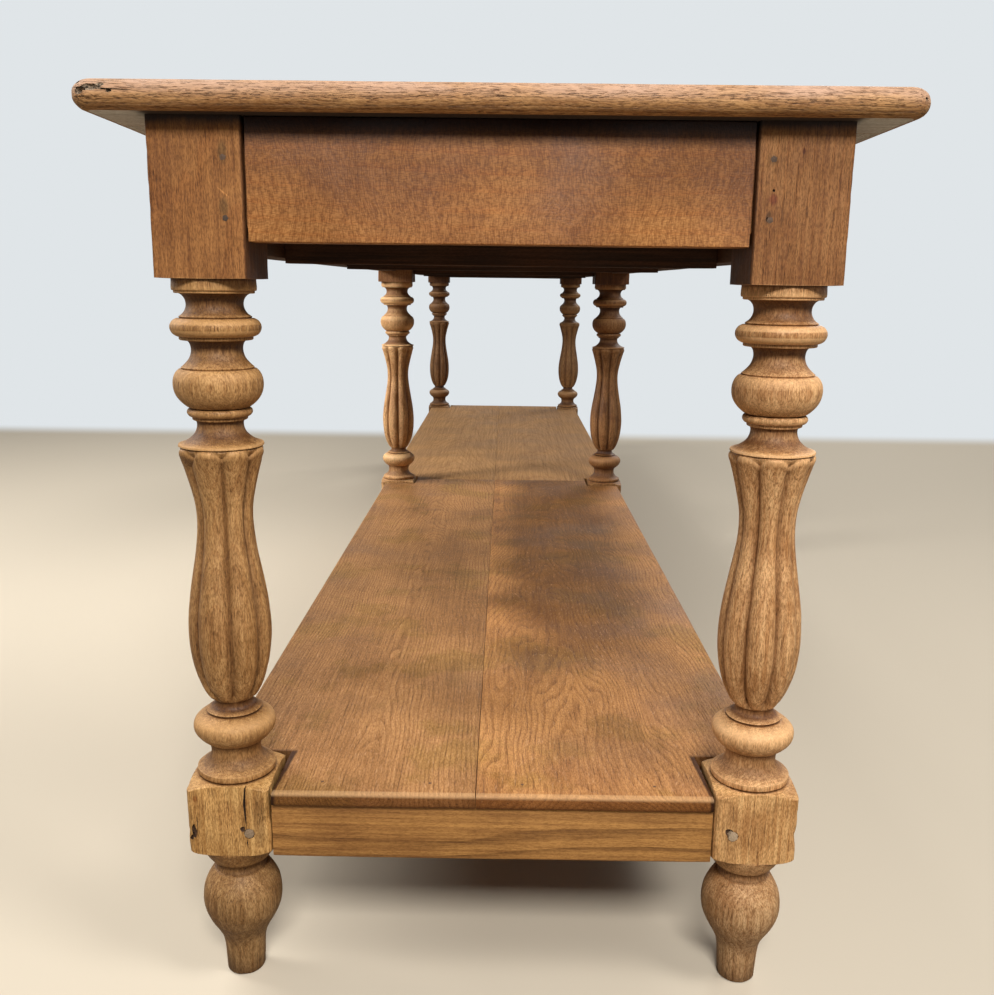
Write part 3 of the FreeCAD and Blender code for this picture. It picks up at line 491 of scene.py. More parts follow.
def reed_tree():
    """Cuts the grooves between the reeds and rounds the reeds' tips, on one leg at a time."""
    tree = bpy.data.node_groups.new("carve_reeds", "GeometryNodeTree")
    tree.interface.new_socket("Geometry", in_out="INPUT", socket_type="NodeSocketGeometry")
    for key in ("Turn", "Depth", "Crowd A", "Crowd B", "Centre X", "Centre Y"):
        tree.interface.new_socket(key, in_out="INPUT", socket_type="NodeSocketFloat")
    tree.interface.new_socket("Wood", in_out="INPUT", socket_type="NodeSocketMaterial")
    tree.interface.new_socket("Geometry", in_out="OUTPUT", socket_type="NodeSocketGeometry")
    given = add(tree, "NodeGroupInput").outputs
    place = add(tree, "ShaderNodeSeparateXYZ", {0: add(tree, "GeometryNodeInputPosition").outputs[0]})
    x = calc(tree, "SUBTRACT", place.outputs[0], given["Centre X"])
    y = calc(tree, "SUBTRACT", place.outputs[1], given["Centre Y"])
    z = place.outputs[2]
    radius = calc(tree, "SQRT", calc(tree, "ADD", calc(tree, "MULTIPLY", x, x), calc(tree, "MULTIPLY", y, y)))
    angle = calc(tree, "ARCTAN2", x, calc(tree, "MULTIPLY", y, -1.0))

    low, high = VASE
    inside = calc(tree, "MULTIPLY", ramp(tree, z, low - 0.0015, low + 0.004),
                  ramp(tree, z, high + 0.0001, high - 0.0014))
    about = calc(tree, "SUBTRACT", angle, given["Turn"])
    phase = calc(tree, "MULTIPLY_ADD", about, REEDS / (2 * math.pi), float(REEDS))
    fold = calc(tree, "ABSOLUTE", calc(tree, "MULTIPLY_ADD", calc(tree, "FRACT", phase), 2.0, -1.0))
    round_side = calc(tree, "MULTIPLY", calc(tree, "POWER", fold, 2.0), 0.60)
    groove = calc(tree, "MULTIPLY_ADD", calc(tree, "POWER", fold, 5.0), 0.40, round_side)
    waist = ramp(tree, radius, 0.022, 0.036, 0.70, 1.0)
    depth = calc(tree, "MULTIPLY", calc(tree, "MULTIPLY", given["Depth"], waist), inside)
    pushed = calc(tree, "SUBTRACT", radius, calc(tree, "MULTIPLY", groove, depth))

    in_vase = calc(tree, "MULTIPLY", ramp(tree, z, low, low + 0.02), ramp(tree, z, high, high - 0.02))
    forward = calc(tree, "SUBTRACT", calc(tree, "COSINE", about), 1.0)
    crowd = calc(tree, "ADD", calc(tree, "MULTIPLY", calc(tree, "SINE", about), given["Crowd A"]),
                 calc(tree, "MULTIPLY", forward, given["Crowd B"]))
    shifted = calc(tree, "MULTIPLY_ADD", crowd, in_vase, angle)
    steep = calc(tree, "POWER", fold, 2.6)
    top_slide = calc(tree, "MULTIPLY", ramp(tree, z, high - 0.020, high - 0.003),
                     ramp(tree, z, high + 0.0002, high - 0.0008))
    foot_slide = calc(tree, "MULTIPLY", ramp(tree, z, low + 0.020, low + 0.003),
                      ramp(tree, z, low - 0.0002, low + 0.0012))
    slide = calc(tree, "SUBTRACT", calc(tree, "MULTIPLY", foot_slide, 0.0045),
                 calc(tree, "MULTIPLY", top_slide, 0.0062))
    new_x = calc(tree, "MULTIPLY_ADD", calc(tree, "SINE", shifted), pushed, given["Centre X"])
    new_y = calc(tree, "MULTIPLY_ADD", calc(tree, "MULTIPLY", calc(tree, "COSINE", shifted), -1.0), pushed,
                 given["Centre Y"])
    new_z = calc(tree, "MULTIPLY_ADD", slide, steep, z)
    new_place = add(tree, "ShaderNodeCombineXYZ", {0: new_x, 1: new_y, 2: new_z}).outputs[0]

    # Painted shade: the bottom of each groove is added to the hollow number, which darkens it as shade in the
    # groove.
    darker = calc(tree, "MULTIPLY", calc(tree, "MULTIPLY", calc(tree, "POWER", fold, 4.0), inside), 0.85)
    before = add(tree, "GeometryNodeInputNamedAttribute", {"Name": "hollow"}, data_type="FLOAT").outputs[0]
    hollow = calc(tree, "ADD", before, darker, clamp=True)
    store = add(tree, "GeometryNodeStoreNamedAttribute",
                {"Geometry": given["Geometry"], "Name": "hollow", "Value": hollow}, data_type="FLOAT")
    moved = add(tree, "GeometryNodeSetPosition", {"Geometry": store.outputs[0], "Position": new_place})
    solid = add(tree, "GeometryNodeRealizeInstances", {"Geometry": moved.outputs[0]})
    dressed = add(tree, "GeometryNodeSetMaterial", {"Geometry": solid.outputs[0], "Material": given["Wood"]})
    add(tree, "NodeGroupOutput", {0: dressed.outputs[0]})
    return tree


carve_reeds = reed_tree()
print("inputs of the carving tree:", [item.name for item in carve_reeds.interface.items_tree])

# %% [markdown]
# A tree does nothing until a piece has it as a modifier. The modifier could stay on the piece, but
# the holes are cut into plain meshes, so its result is taken as the new mesh. The pegs are made
# in the same way later on.

# %% Running a tree on a piece
def set_inputs(modifier, values):
    """Sets a tree's inputs by their sockets' identifiers."""
    for item in modifier.node_group.interface.items_tree:
        if item.item_type == "SOCKET" and item.in_out == "INPUT" and item.name in values:
            modifier[item.identifier] = values[item.name]


def grown(name, piece, tree, values):
    """Runs a tree on a piece, and gives the result back as a plain mesh."""
    modifier = piece.modifiers.new(tree.name, "NODES")
    modifier.node_group = tree
    set_inputs(modifier, values)
    graph = bpy.context.evaluated_depsgraph_get()
    mesh = bpy.data.meshes.new_from_object(piece.evaluated_get(graph), preserve_all_data_layers=True,
                                           depsgraph=graph)
    bpy.data.objects.remove(piece)
    mesh.name = name
    return plain_object(name, mesh)


print("trees that can be run so far:", [tree.name for tree in bpy.data.node_groups])

# %% [markdown]
# ## Cutting holes and splits
# Peg holes, drying splits and lost chips could be drawn as dark paint, but they would stay flat.
# They are cut with a Boolean instead: a second mesh is taken away from the piece. A peg hole is
# an eight-sided plug, a split is a thin wedge that wanders as it runs along the grain, and a chip
# is a ball with a knobbly skin.

# %% Cutters
HOLE_SIDES = 8


def prism(centre, along, radius, depth):
    """An eight-sided plug, as a peg's hole is."""
    bm = bmesh.new()
    place = Matrix.Translation(centre) @ along.to_track_quat("Z", "Y").to_matrix().to_4x4()
    bmesh.ops.create_cone(bm, cap_ends=True, segments=HOLE_SIDES, radius1=radius, radius2=radius,
                          depth=depth, matrix=place)
    return bm


def split_wedge(path, inward, width, depth):
    """A thin wedge that follows a path on the surface, widest in its middle."""
    bm = bmesh.new()
    rows = []
    for i, mark in enumerate(path):
        share = i / (len(path) - 1)
        half = width * max(0.12, math.sin(math.pi * share)) / 2
        ahead = (Vector(path[min(i + 1, len(path) - 1)]) - Vector(path[max(i - 1, 0)])).normalized()
        side = ahead.cross(inward).normalized()
        mark = Vector(mark)
        mouth = mark - inward * 0.003
        rows.append([bm.verts.new(mouth + side * half), bm.verts.new(mouth - side * half),
                     bm.verts.new(mark + inward * depth * max(0.25, math.sin(math.pi * share)))])
    for low, high in zip(rows, rows[1:]):
        for i in range(3):
            bm.faces.new((low[i], low[(i + 1) % 3], high[(i + 1) % 3], high[i]))
    bm.faces.new(rows[0][::-1])
    bm.faces.new(rows[-1])
    return bm


def gouge(centre, size, seed, rough=0.35):
    """A knobbly hollow."""
    bm = bmesh.new()
    place = Matrix.Translation(centre) @ Matrix.Diagonal((*size, 1.0))
    bmesh.ops.create_icosphere(bm, subdivisions=2, radius=1.0, matrix=place)
    for vert in bm.verts:
        vert.co += (vert.co - Vector(centre)) * noise.noise(vert.co * 260 + Vector((seed, 0, 0))) * rough
    return bm


print("a peg hole is cut with", HOLE_SIDES, "sides")

# %% [markdown]
# Two cutters that overlap would leave slivers if each were taken away in turn. So all cutters of
# a piece are first joined into one tool, and the tool is taken away in a single cut. Afterwards
# the curved faces are shaded smoothly again, and only sharp edges stay crisp.

# %% Cutting with one joined tool
def combined(piece, operation, tool):
    """Joins a tool mesh to a piece or takes it away, and leaves a plain mesh."""
    modifier = piece.modifiers.new("cut", "BOOLEAN")
    modifier.operation = operation
    modifier.object = tool
    modifier.solver = "EXACT"
    modifier.material_mode = "TRANSFER"
    graph = bpy.context.evaluated_depsgraph_get()
    mesh = bpy.data.meshes.new_from_object(piece.evaluated_get(graph), preserve_all_data_layers=True,
                                           depsgraph=graph)
    piece.modifiers.clear()
    piece.data = mesh
    bpy.data.objects.remove(tool)


CRISP_ANGLE = 27


def carve(piece, cutters, inner_material):
    """Makes one tool of all the cutters, and takes it away from the piece in a single cut."""
    tool = None
    for bm in cutters:
        bmesh.ops.recalc_face_normals(bm, faces=bm.faces)
        mesh = bpy.data.meshes.new("cutter")
        bm.to_mesh(mesh)
        bm.free()
        mesh.materials.append(inner_material)
        cutter = plain_object("cutter", mesh)
        if tool:
            combined(tool, "UNION", cutter)
        else:
            tool = cutter
    combined(piece, "DIFFERENCE", tool)


def smooth_by_angle(piece, degrees=CRISP_ANGLE):
    """Rounded surfaces shade smoothly, and edges sharper than the angle stay crisp."""
    mesh = piece.data
    bm = bmesh.new()
    bm.from_mesh(mesh)
    for face in bm.faces:
        face.smooth = True
    for edge in bm.edges:
        edge.smooth = len(edge.link_faces) == 2 and edge.calc_face_angle(0.0) < math.radians(degrees)
    bm.to_mesh(mesh)
    bm.free()


print("edges stay crisp above", CRISP_ANGLE, "degrees")

# %% [markdown]
# ## Finishes
# The legs and aprons are stripped, honey-brown oak. The grain runs up the legs and along the
# rails. End grain, the insides of splits and the pegs are darker, because they soak up dirt.
# Broken wood has no rings to show, only torn fibres, so a speckle of two colours is enough.

# %% Torn wood inside holes and splits
def torn_wood(name, low, high):
    """Broken fibres: rough, and speckled between two colours."""
    material, tree, shader = bare_material(name)
    specks = cloudy(tree, object_place(tree), 700.0, detail=3.0).outputs[0]
    colour = blend(tree, "MIX", ramp(tree, specks, 0.35, 0.65), low, high)
    tree.links.new(colour, shader.inputs["Base Color"])
    shader.inputs["Roughness"].default_value = 0.9
    return material


dark_wood = torn_wood("split_dark", paint(34, 22, 13), paint(96, 64, 40))
worm_wood = torn_wood("worm_eaten_grey", paint(44, 34, 26), paint(168, 146, 122))
print("torn wood:", dark_wood.name, "and", worm_wood.name)

# %% [markdown]
# A leg's life shows from top to bottom. The square head stayed brown under the top. Right
# beneath the top it is painted nearly black, partly as grime and partly as painted shade of the
# top, and the head's inner faces are darkened as painted shade. The feet went grey and then dark
# from wet floors. This could be painted by hand on each leg; a rule of heights with slow noise in
# it serves all six at once.

# %% A leg's patina and painted shade
LEG_BANDS = {  # between which heights, in metres, each part of the patina fades in
    "head": (0.6985, 0.7005), "grime_and_shade_under_top": (0.824, 0.8345), "block foot": (0.1495, 0.1505),
    "block head": (0.2235, 0.2225), "grey foot": (0.18, 0.11), "wet foot": (0.055, 0.020),
}


def leg_patina_and_shade(tree, split, colour, height, head_tone=(0.45, 0.35, 0.28), block_tone=(1.08, 1.12, 1.12)):
    """Head, lower block and foot each get their own tone, and stains wander over all of it."""
    z = split.outputs[2]
    wander = cloudy(tree, object_place(tree), 22.0, detail=4.0).outputs[0]
    head = ramp(tree, z, *LEG_BANDS["head"])
    colour = tinted(tree, head, colour, head_tone)
    # Painted shade: the inner faces of the square head, which face the middle under the top, are darkened.
    inner = ramp(tree, calc(tree, "ABSOLUTE", split.outputs[0]), 0.2172, 0.2158)
    colour = tinted(tree, calc(tree, "MULTIPLY", head, inner), colour, (0.42, 0.38, 0.36))
    # Grime and painted shade: a band right under the top is made nearly black, partly for the top's shadow.
    grime_and_shade_under_top = ramp(tree, calc(tree, "MULTIPLY_ADD", wander, 0.008, z), *LEG_BANDS["grime_and_shade_under_top"])
    colour = tinted(tree, grime_and_shade_under_top, colour, (0.08, 0.06, 0.05))
    block = calc(tree, "MULTIPLY", ramp(tree, z, *LEG_BANDS["block foot"]),
                 ramp(tree, z, *LEG_BANDS["block head"]))
    colour = tinted(tree, block, colour, block_tone)
    foot = ramp(tree, calc(tree, "MULTIPLY_ADD", wander, 0.06, z), *LEG_BANDS["grey foot"])
    colour = tinted(tree, foot, colour, (0.80, 0.84, 0.90))
    wet = ramp(tree, calc(tree, "MULTIPLY_ADD", wander, 0.05, z), *LEG_BANDS["wet foot"])
    colour = tinted(tree, wet, colour, (0.45, 0.42, 0.40))
    stain = calc(tree, "MULTIPLY", ramp(tree, wander, 0.50, 0.72), 0.6)
    return tinted(tree, stain, colour, (0.66, 0.56, 0.48)), height


print("parts of the patina:", ", ".join(LEG_BANDS))

# %% [markdown]
# The two near legs also have marks of their own: greenish stains on the left head, a pale rub, a
# knot beside the lower block, and dark spots on the right head. Each is a soft oval on the front
# of the leg, so that it can be placed by its middle and its size, like a dab with a sponge.

# %% Stains and rubs of the near legs
LEG_FRONT = (-1.5370, -1.5388)       # from just behind a near leg's front face to the face itself


def smudge(tree, split, x, z, wide, high, slant=0.0):
    """A soft spot on the front of a near leg, 1 in its middle; wide and high are half its size."""
    across = calc(tree, "SUBTRACT", split.outputs[0], x)
    upwards = calc(tree, "MULTIPLY_ADD", across, -slant, calc(tree, "SUBTRACT", split.outputs[2], z))
    across = calc(tree, "MULTIPLY", across, 1 / (wide * MM))
    upwards = calc(tree, "MULTIPLY", upwards, 1 / (high * MM))
    far = calc(tree, "SQRT", calc(tree, "ADD", calc(tree, "MULTIPLY", across, across),
                                  calc(tree, "MULTIPLY", upwards, upwards)))
    return calc(tree, "MULTIPLY", ramp(tree, far, 1.15, 0.45), ramp(tree, split.outputs[1], *LEG_FRONT))


LEG_MARKS = {  # place across and up in metres, half sizes in millimetres, slant, and tint
    "near_left": [
        (-0.2312, 0.8030, 4.6, 10.5, 0.0, (0.60, 0.66, 0.64)),
        (-0.2318, 0.7590, 4.8, 9.0, 0.0, (0.58, 0.64, 0.64)),
        (-0.2322, 0.7708, 5.4, 1.1, -0.8, (1.7, 1.8, 1.9)),
        (-0.2860, 0.2100, 3.0, 4.0, 0.0, (0.6, 0.45, 0.35)),
        (-0.2250, 0.1900, 7.5, 34.0, 0.0, (0.74, 0.74, 0.76)),
    ],
    "near_right": [
        (0.2272, 0.8009, 5.0, 5.2, 0.0, (0.70, 0.72, 0.74)),
        (0.2298, 0.7695, 4.4, 5.4, 0.0, (0.70, 0.45, 0.45)),
        (0.2265, 0.7550, 3.0, 6.0, 0.5, (0.42, 0.42, 0.42)),
        (0.2525, 0.8080, 1.4, 3.2, 0.0, (0.45, 0.28, 0.22)),
        (0.2305, 0.1800, 10.0, 36.0, 0.0, (0.82, 0.80, 0.78)),
    ],
}
LEG_PARTS = {
    "near_left": dict(head_tone=(0.66, 0.51, 0.375), block_tone=(1.48, 1.60, 1.58)),
    "near_right": dict(head_tone=(0.45, 0.35, 0.25), block_tone=(1.08, 1.10, 1.02)),
}


def leg_story(name):
    """The patina, and on a near leg the stains and rubs of its own."""
    def extra(tree, split, colour, height):
        colour, height = leg_patina_and_shade(tree, split, colour, height, **LEG_PARTS.get(name, {}))
        for x, z, wide, high, slant, tint in LEG_MARKS.get(name, []):
            colour = tinted(tree, smudge(tree, split, x, z, wide, high, slant), colour, tint)
        return colour, height
    return extra


print("marks on the near legs:", {name: len(marks) for name, marks in LEG_MARKS.items()})

# %% [markdown]
# The six legs were turned from different baulks, so each has its own pair of colours, its own
# pith and its own part of the grain. The middle pair's colours also hold painted light and shade:
# the left one is painted paler, the right one darker. One finish for all would show the same
# streaks six times.

# %% Finishes for the legs
LEG_PLACES = {
    "near_left": (-0.255, -1.5), "near_right": (0.255, -1.5),
    "middle_left": (-0.255, 0.0), "middle_right": (0.255, 0.0),
    "far_left": (-0.255, 1.5), "far_right": (0.255, 1.5),
}
# Painted light and shade: middle_left is painted paler, as light from the left, and middle_right darker, as
# shade.
LEG_TONES = {
    "near_left": (paint(205, 159, 104), paint(148, 104, 57)),
    "near_right": (paint(238, 190, 136), paint(180, 128, 78)),
    "middle_left": (paint(246, 200, 146), paint(196, 145, 94)),
    "middle_right": (paint(182, 134, 86), paint(124, 82, 46)),
    "far_left": (paint(186, 142, 98), paint(130, 90, 54)),
    "far_right": (paint(190, 146, 98), paint(134, 92, 54)),
}
leg_oak = {}
for number, (name, (pale, deep)) in enumerate(LEG_TONES.items()):
    leg_oak[name] = oak(f"oak_leg_{name}", "Z", pale=pale, deep=deep,
                        shift=(0.13 * number, 0.07 * number, 0.31 * number),
                        pith=(0.13 * number - 0.30, 0.07 * number - 0.09), lean=0.03, ring=0.0034, bend=0.006,
                        ring_strength=0.16, pore_strength=0.88, pore_size=(1050.0, 62.0), rough=(0.50, 0.66),
                        relief=0.55, clouds=16.0, speckle=0.42, extra=leg_story(name))
print("leg finishes:", len(leg_oak))

# %% [markdown]
# ## Six legs
# Each leg could be a copy of the first. But the carver set the reeds out anew on every leg, so
# each gets its own turn about its axis and its own crowding of the reeds. The near legs get the
# finest grid, because they are seen from closest, and the far ones the coarsest.

# %% Turning and carving the legs
REED_DEPTH = 7.0 * MM
CARVING = {
    "near_left": dict(turn=15.0, a=0.259, b=0.364, spokes=152, step=1.15),
    "near_right": dict(turn=12.5, a=0.06, b=0.04, spokes=152, step=1.15),
    "middle_left": dict(turn=6.0, a=0.05, b=-0.04, spokes=104, step=1.8),
    "middle_right": dict(turn=6.0, a=-0.03, b=0.04, spokes=104, step=1.8),
    "far_left": dict(turn=8.0, a=0.0, b=0.03, spokes=80, step=2.6),
    "far_right": dict(turn=20.0, a=0.02, b=0.0, spokes=80, step=2.6),
}
legs = {}
for seed, (name, rule) in enumerate(CARVING.items()):
    centre = LEG_PLACES[name]
    blank = plain_object("blank", leg_mesh("blank", centre, rule["spokes"], rule["step"], seed * 7.3))
    legs[name] = grown(f"turned_leg_{name}", blank, carve_reeds, {
        "Turn": math.radians(rule["turn"]), "Depth": REED_DEPTH, "Crowd A": rule["a"], "Crowd B": rule["b"],
        "Centre X": centre[0], "Centre Y": centre[1], "Wood": leg_oak[name]})
    print(name, "faces:", len(legs[name].data.polygons))
for name, leg in legs.items():
    smooth_by_angle(leg)
    finish_piece(leg, "frame_oak", f"leg_{name}")

# %% [markdown]
# ## Sawn and planed pieces
# Aprons, stretchers and bearers are planed sticks, whose corners were eased with a stroke of the
# plane and rounded further by a century of hands. A bevel on a box would give that rounding, but
# leave dead straight edges, so the rounding is drawn as a section, to be swept along the stick.

# %% The section of a stick
def eased_section(wide, high, ease, steps=3):
    """Corners of a rounded rectangle about the middle, anticlockwise."""
    points = []
    for turn, (sx, sy) in enumerate(((1, 1), (-1, 1), (-1, -1), (1, -1))):
        for i in range(steps + 1):
            angle = math.pi / 2 * (turn + i / steps)
            points.append((sx * (wide / 2 - ease) + ease * math.cos(angle),
                           sy * (high / 2 - ease) + ease * math.sin(angle)))
    return points


print("points round a planed stick:", len(eased_section(46 * MM, 100 * MM, 1.4 * MM)))

# %% [markdown]
# Along the stick, slow noise makes the arrises waver, as planing and knocks do. The tenons are
# plain blocks on its ends that reach on into the legs, and its shoulders stand a hair off the
# legs, because oak shrinks. Tenons in one mesh with the stick could be cut from its end rings, but
# nobody sees them, so a block pushed into each end is enough.

# %% A planed stick
STATION = 0.03


def add_tenons(bm, middle, along, ends, size, reach):
    """A block on either end of a stick; size is its section, and reach how far it goes on."""
    for edge, way in zip(ends, (-1, 1)):
        tenon, place = size.copy(), middle.copy()
        tenon[along] = reach
        place[along] = edge + way * reach / 2
        bmesh.ops.create_cube(bm, size=1.0, matrix=Matrix.Translation(place) @ Matrix.Diagonal((*tenon, 1)))


def stick(name, low, high, along, ease=1.4 * MM, waver=0.5 * MM, seed=0.0, gap=0.0, tenons=None):
    """A planed stick between two corners; along is 0 for X or 1 for Y."""
    low, high = Vector(low), Vector(high)
    middle = (low + high) / 2
    size = high - low
    across = 1 - along
    section = eased_section(size[across], size[2], ease)
    stations = max(2, int(size[along] / STATION))
    start, end = low[along] + gap, high[along] - gap
    bm = bmesh.new()
    rings = []
    for i in range(stations + 1):
        t = start + (end - start) * i / stations
        shrink = 1 - 0.4 * ease / size[2] if i in (0, stations) else 1.0
        ring = []
        for k, (a, b) in enumerate(section):
            rough = noise.noise(Vector((t * 9, k * 1.7, seed))) * waver
            point = Vector()
            point[along] = t
            point[across] = middle[across] + (a - math.copysign(abs(rough), a)) * shrink
            point[2] = middle[2] + (b - math.copysign(abs(rough), b)) * shrink
            ring.append(bm.verts.new(point))
        rings.append(ring)
    for lower, upper in zip(rings, rings[1:]):
        for i in range(len(lower)):
            bm.faces.new((lower[i - 1], lower[i], upper[i], upper[i - 1]))
    bm.faces.new(rings[0])
    bm.faces.new(rings[-1][::-1])
    if tenons:
        reach, thick, shoulder = tenons
        tenon = Vector((thick, thick, size[2] - 2 * shoulder))
        add_tenons(bm, middle, along, (start, end), tenon, reach + gap)
    bmesh.ops.recalc_face_normals(bm, faces=bm.faces)
    mesh = bpy.data.meshes.new(name)
    bm.to_mesh(mesh)
    bm.free()
    piece = plain_object(name, mesh)
    smooth_by_angle(piece, 50)
    return piece


print("a stick gets a new ring of points every", round(STATION / MM), "mm")

# %% [markdown]
# A rail's place and length could be typed in again, but the CAD piece already knows them. Its box
# runs to the ends of the tenons, so a tenon's length is taken off at both ends to find the
# shoulders, and the stick is planed between those.

# %% A rail between its shoulders
TENON = 36 * MM


def fitted_rail(name, node, slot, wood, along, seed, gap, thick, shoulder, tenon=TENON, ease=1.4 * MM,
                forward=0.0, upward=0.0):
    """A rail in the place of its CAD piece; thick and shoulder give the section of its tenons."""
    low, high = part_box(node)
    low, high = low.copy(), high.copy()
    low[along] += tenon
    high[along] -= tenon
    low.y += min(forward, 0.0)
    high.y += max(forward, 0.0)
    high.z += upward
    rail = stick(name, low, high, along, ease=ease, seed=seed, gap=gap, tenons=(tenon, thick, shoulder))
    rail.data.materials.append(wood)
    finish_piece(rail, slot, node)
    print(name, "between its shoulders:", round((high - low)[along], 3))


print("a tenon is", round(TENON / MM), "mm long")

# %% [markdown]
# ## The end aprons
# The end apron shows a fine wavy figure of short upright dashes, where the saw met the rays of
# the wood. They could be cut as real grooves, but they are finer than a hair's breadth, so they
# are added to the oak as an extra: noise drawn out upwards and bent by slower noise.

# %% The apron's figure
def chatter_and_shade(tree, split, colour, height):
    """Short upright dashes that lean this way and that; painted shade darkens the wood up to the top, and
    under the top a band is painted nearly black, partly grime and partly painted shadow.
    """
    place = object_place(tree)
    sway = vector(tree, "MULTIPLY", cloudy(tree, place, 11.0).outputs["Color"], (0.030, 0.030, 0.006))
    bent = vector(tree, "ADD", place, sway)
    dashes = stretched(tree, bent, (820.0, 820.0, 150.0), roughness=0.55).outputs[0]
    mask = ramp(tree, dashes, 0.40, 0.66)
    colour = tinted(tree, mask, colour, (0.66, 0.59, 0.52))
    ripple = stretched(tree, bent, (300.0, 300.0, 46.0), detail=1.0).outputs[0]
    colour = tinted(tree, ramp(tree, ripple, 0.44, 0.62), colour, (0.87, 0.83, 0.78))
    # Painted shade: the apron is darkened from 0.736 m up to 0.800 m.
    colour = tinted(tree, ramp(tree, split.outputs[2], 0.736, 0.800), colour, (0.68, 0.62, 0.55))
    # Grime and painted shadow: a band under the top is made nearly black.
    colour = tinted(tree, ramp(tree, split.outputs[2], 0.806, 0.828), colour, (0.08, 0.05, 0.04))
    broad = cloudy(tree, place, 9.0, detail=3.0).outputs[0]
    colour = tinted(tree, ramp(tree, broad, 0.48, 0.70), colour, (0.84, 0.78, 0.72))
    return colour, calc(tree, "MULTIPLY_ADD", mask, -0.6, height)


for row, shift, pith in (("near", (0.2, 0.1, 0.4), (0.55, -0.10)), ("far", (0.7, 0.3, 1.4), (0.95, 0.10))):
    figured = oak(f"oak_apron_{row}_end", "X", pale=paint(194, 137, 79), deep=paint(154, 102, 56),
                  shift=shift, pith=pith, lean=0.01, ring=0.006, ring_strength=0.0, pore_strength=0.08,
                  streaky=0.12, rough=(0.52, 0.68), relief=0.35, clouds=9.0, speckle=0.34, extra=chatter_and_shade)
    fitted_rail(f"end_apron_{row}", f"apron_{row}_end", "frame_oak", figured, 0, seed=3.1, gap=2.3 * MM,
                thick=12 * MM, shoulder=12 * MM, ease=1.3 * MM)
    print("its figured oak:", figured.name)

# %% [markdown]
# ## Rails along and across
# The inner faces and the undersides of the long aprons are darkened as painted shade, which is one
# more extra of the oak. The near end stretcher shows broad flame-shaped rings, because it was sawn
# flat across them: its pith lies far outside the piece, and its rings are wide apart. Colours
# alone could not tell these rails apart so well as the way they were sawn.

# %% Finishes for the rails
def painted_shade_inside(tree, split, colour, height):
    """Painted shade: the inner side and the underside of a long apron are darkened."""
    beside = calc(tree, "ABSOLUTE", split.outputs[0])
    under = calc(tree, "MULTIPLY", ramp(tree, beside, 0.2900, 0.2880),
                 ramp(tree, split.outputs[2], 0.7262, 0.7250))
    inner = calc(tree, "MAXIMUM", ramp(tree, beside, 0.2570, 0.2545), under)
    inner = calc(tree, "MULTIPLY", inner, ramp(tree, split.outputs[2], 0.70, 0.71))
    # Painted shade: these faces are darkened to about a fifth.
    return tinted(tree, inner, colour, (0.20, 0.16, 0.14)), height


side_oak = oak("oak_long_rails", "Y", pale=paint(178, 130, 84), deep=paint(132, 88, 52),
               shift=(0.1, 0.4, 0.2), pith=(0.35, 0.10), lean=0.012, ring=0.0034, ring_strength=0.45,
               pore_strength=0.55, extra=painted_shade_inside)
low_oak = oak("oak_end_stretchers", "X", pale=paint(197, 144, 80), deep=paint(142, 96, 50),
              shift=(0.3, 0.2, 0.7), pith=(-1.32, 0.415), lean=0.035, ring=0.0085, bend=0.026,
              ring_strength=1.0, pore_strength=0.5, rough=(0.5, 0.66), relief=0.4)
print("finishes of the rails:", side_oak.name, "and", low_oak.name)

# %% [markdown]
# Long aprons and stretchers tie the legs together along the table; end stretchers, bearers and
# the two middle rails do so across it. They are all the same kind of stick, so a loop over the
# two bays makes them, with slightly thinner tenons low down. The end stretchers stand 4 mm
# further out than in the frame and reach 4.5 mm higher, up into the shelf boards, so that the
# dark line between the two is thin, as on the real table.

# %% Long aprons, bearers and stretchers
for bay, outward in (("near", -4 * MM), ("far", 4 * MM)):
    for side in ("left", "right"):
        fitted_rail(f"long_apron_{bay}_{side}", f"apron_{bay}_{side}", "frame_oak", side_oak, 1, seed=5.0,
                    gap=1.0 * MM, thick=12 * MM, shoulder=12 * MM)
        fitted_rail(f"long_stretcher_{bay}_{side}", f"stretcher_{bay}_{side}", "frame_oak", side_oak, 1,
                    seed=6.0, gap=0.6 * MM, thick=10 * MM, shoulder=10 * MM)
    fitted_rail(f"end_stretcher_{bay}", f"stretcher_{bay}_end", "frame_oak", low_oak, 0, seed=7.0,
                gap=1.0 * MM, thick=10 * MM, shoulder=10 * MM, ease=2.2 * MM, forward=outward,
                upward=4.5 * MM)
    for place in ("outer", "inner"):
        fitted_rail(f"cross_bearer_{bay}_{place}", f"bearer_{bay}_{place}", "inner_oak", cross_oak, 0,
                    seed=8.0, gap=0.4 * MM, thick=12 * MM, shoulder=24 * MM, tenon=20 * MM)
for node, slot, thick, shoulder in (("apron_middle_cross", "inner_oak", 12, 24),
                                    ("stretcher_middle", "frame_oak", 10, 10)):
    fitted_rail(f"cross_{node}", node, slot, cross_oak, 0, seed=9.0, gap=0.6 * MM, thick=thick * MM,
                shoulder=shoulder * MM)
print("meshes in the scene so far:", len(bpy.data.meshes))

# %% [markdown]
# ## Slabs
# The boards of the top and of the shelf are slabs: an outline in plan, with an edge that is
# rounded over. A bevel would give every side the same edge, but a real board has several, so the
# edge is a short list of steps, each so far in from the outline and so high. Sides that meet a
# neighbour are only eased, and the outer ones get the full round nose.

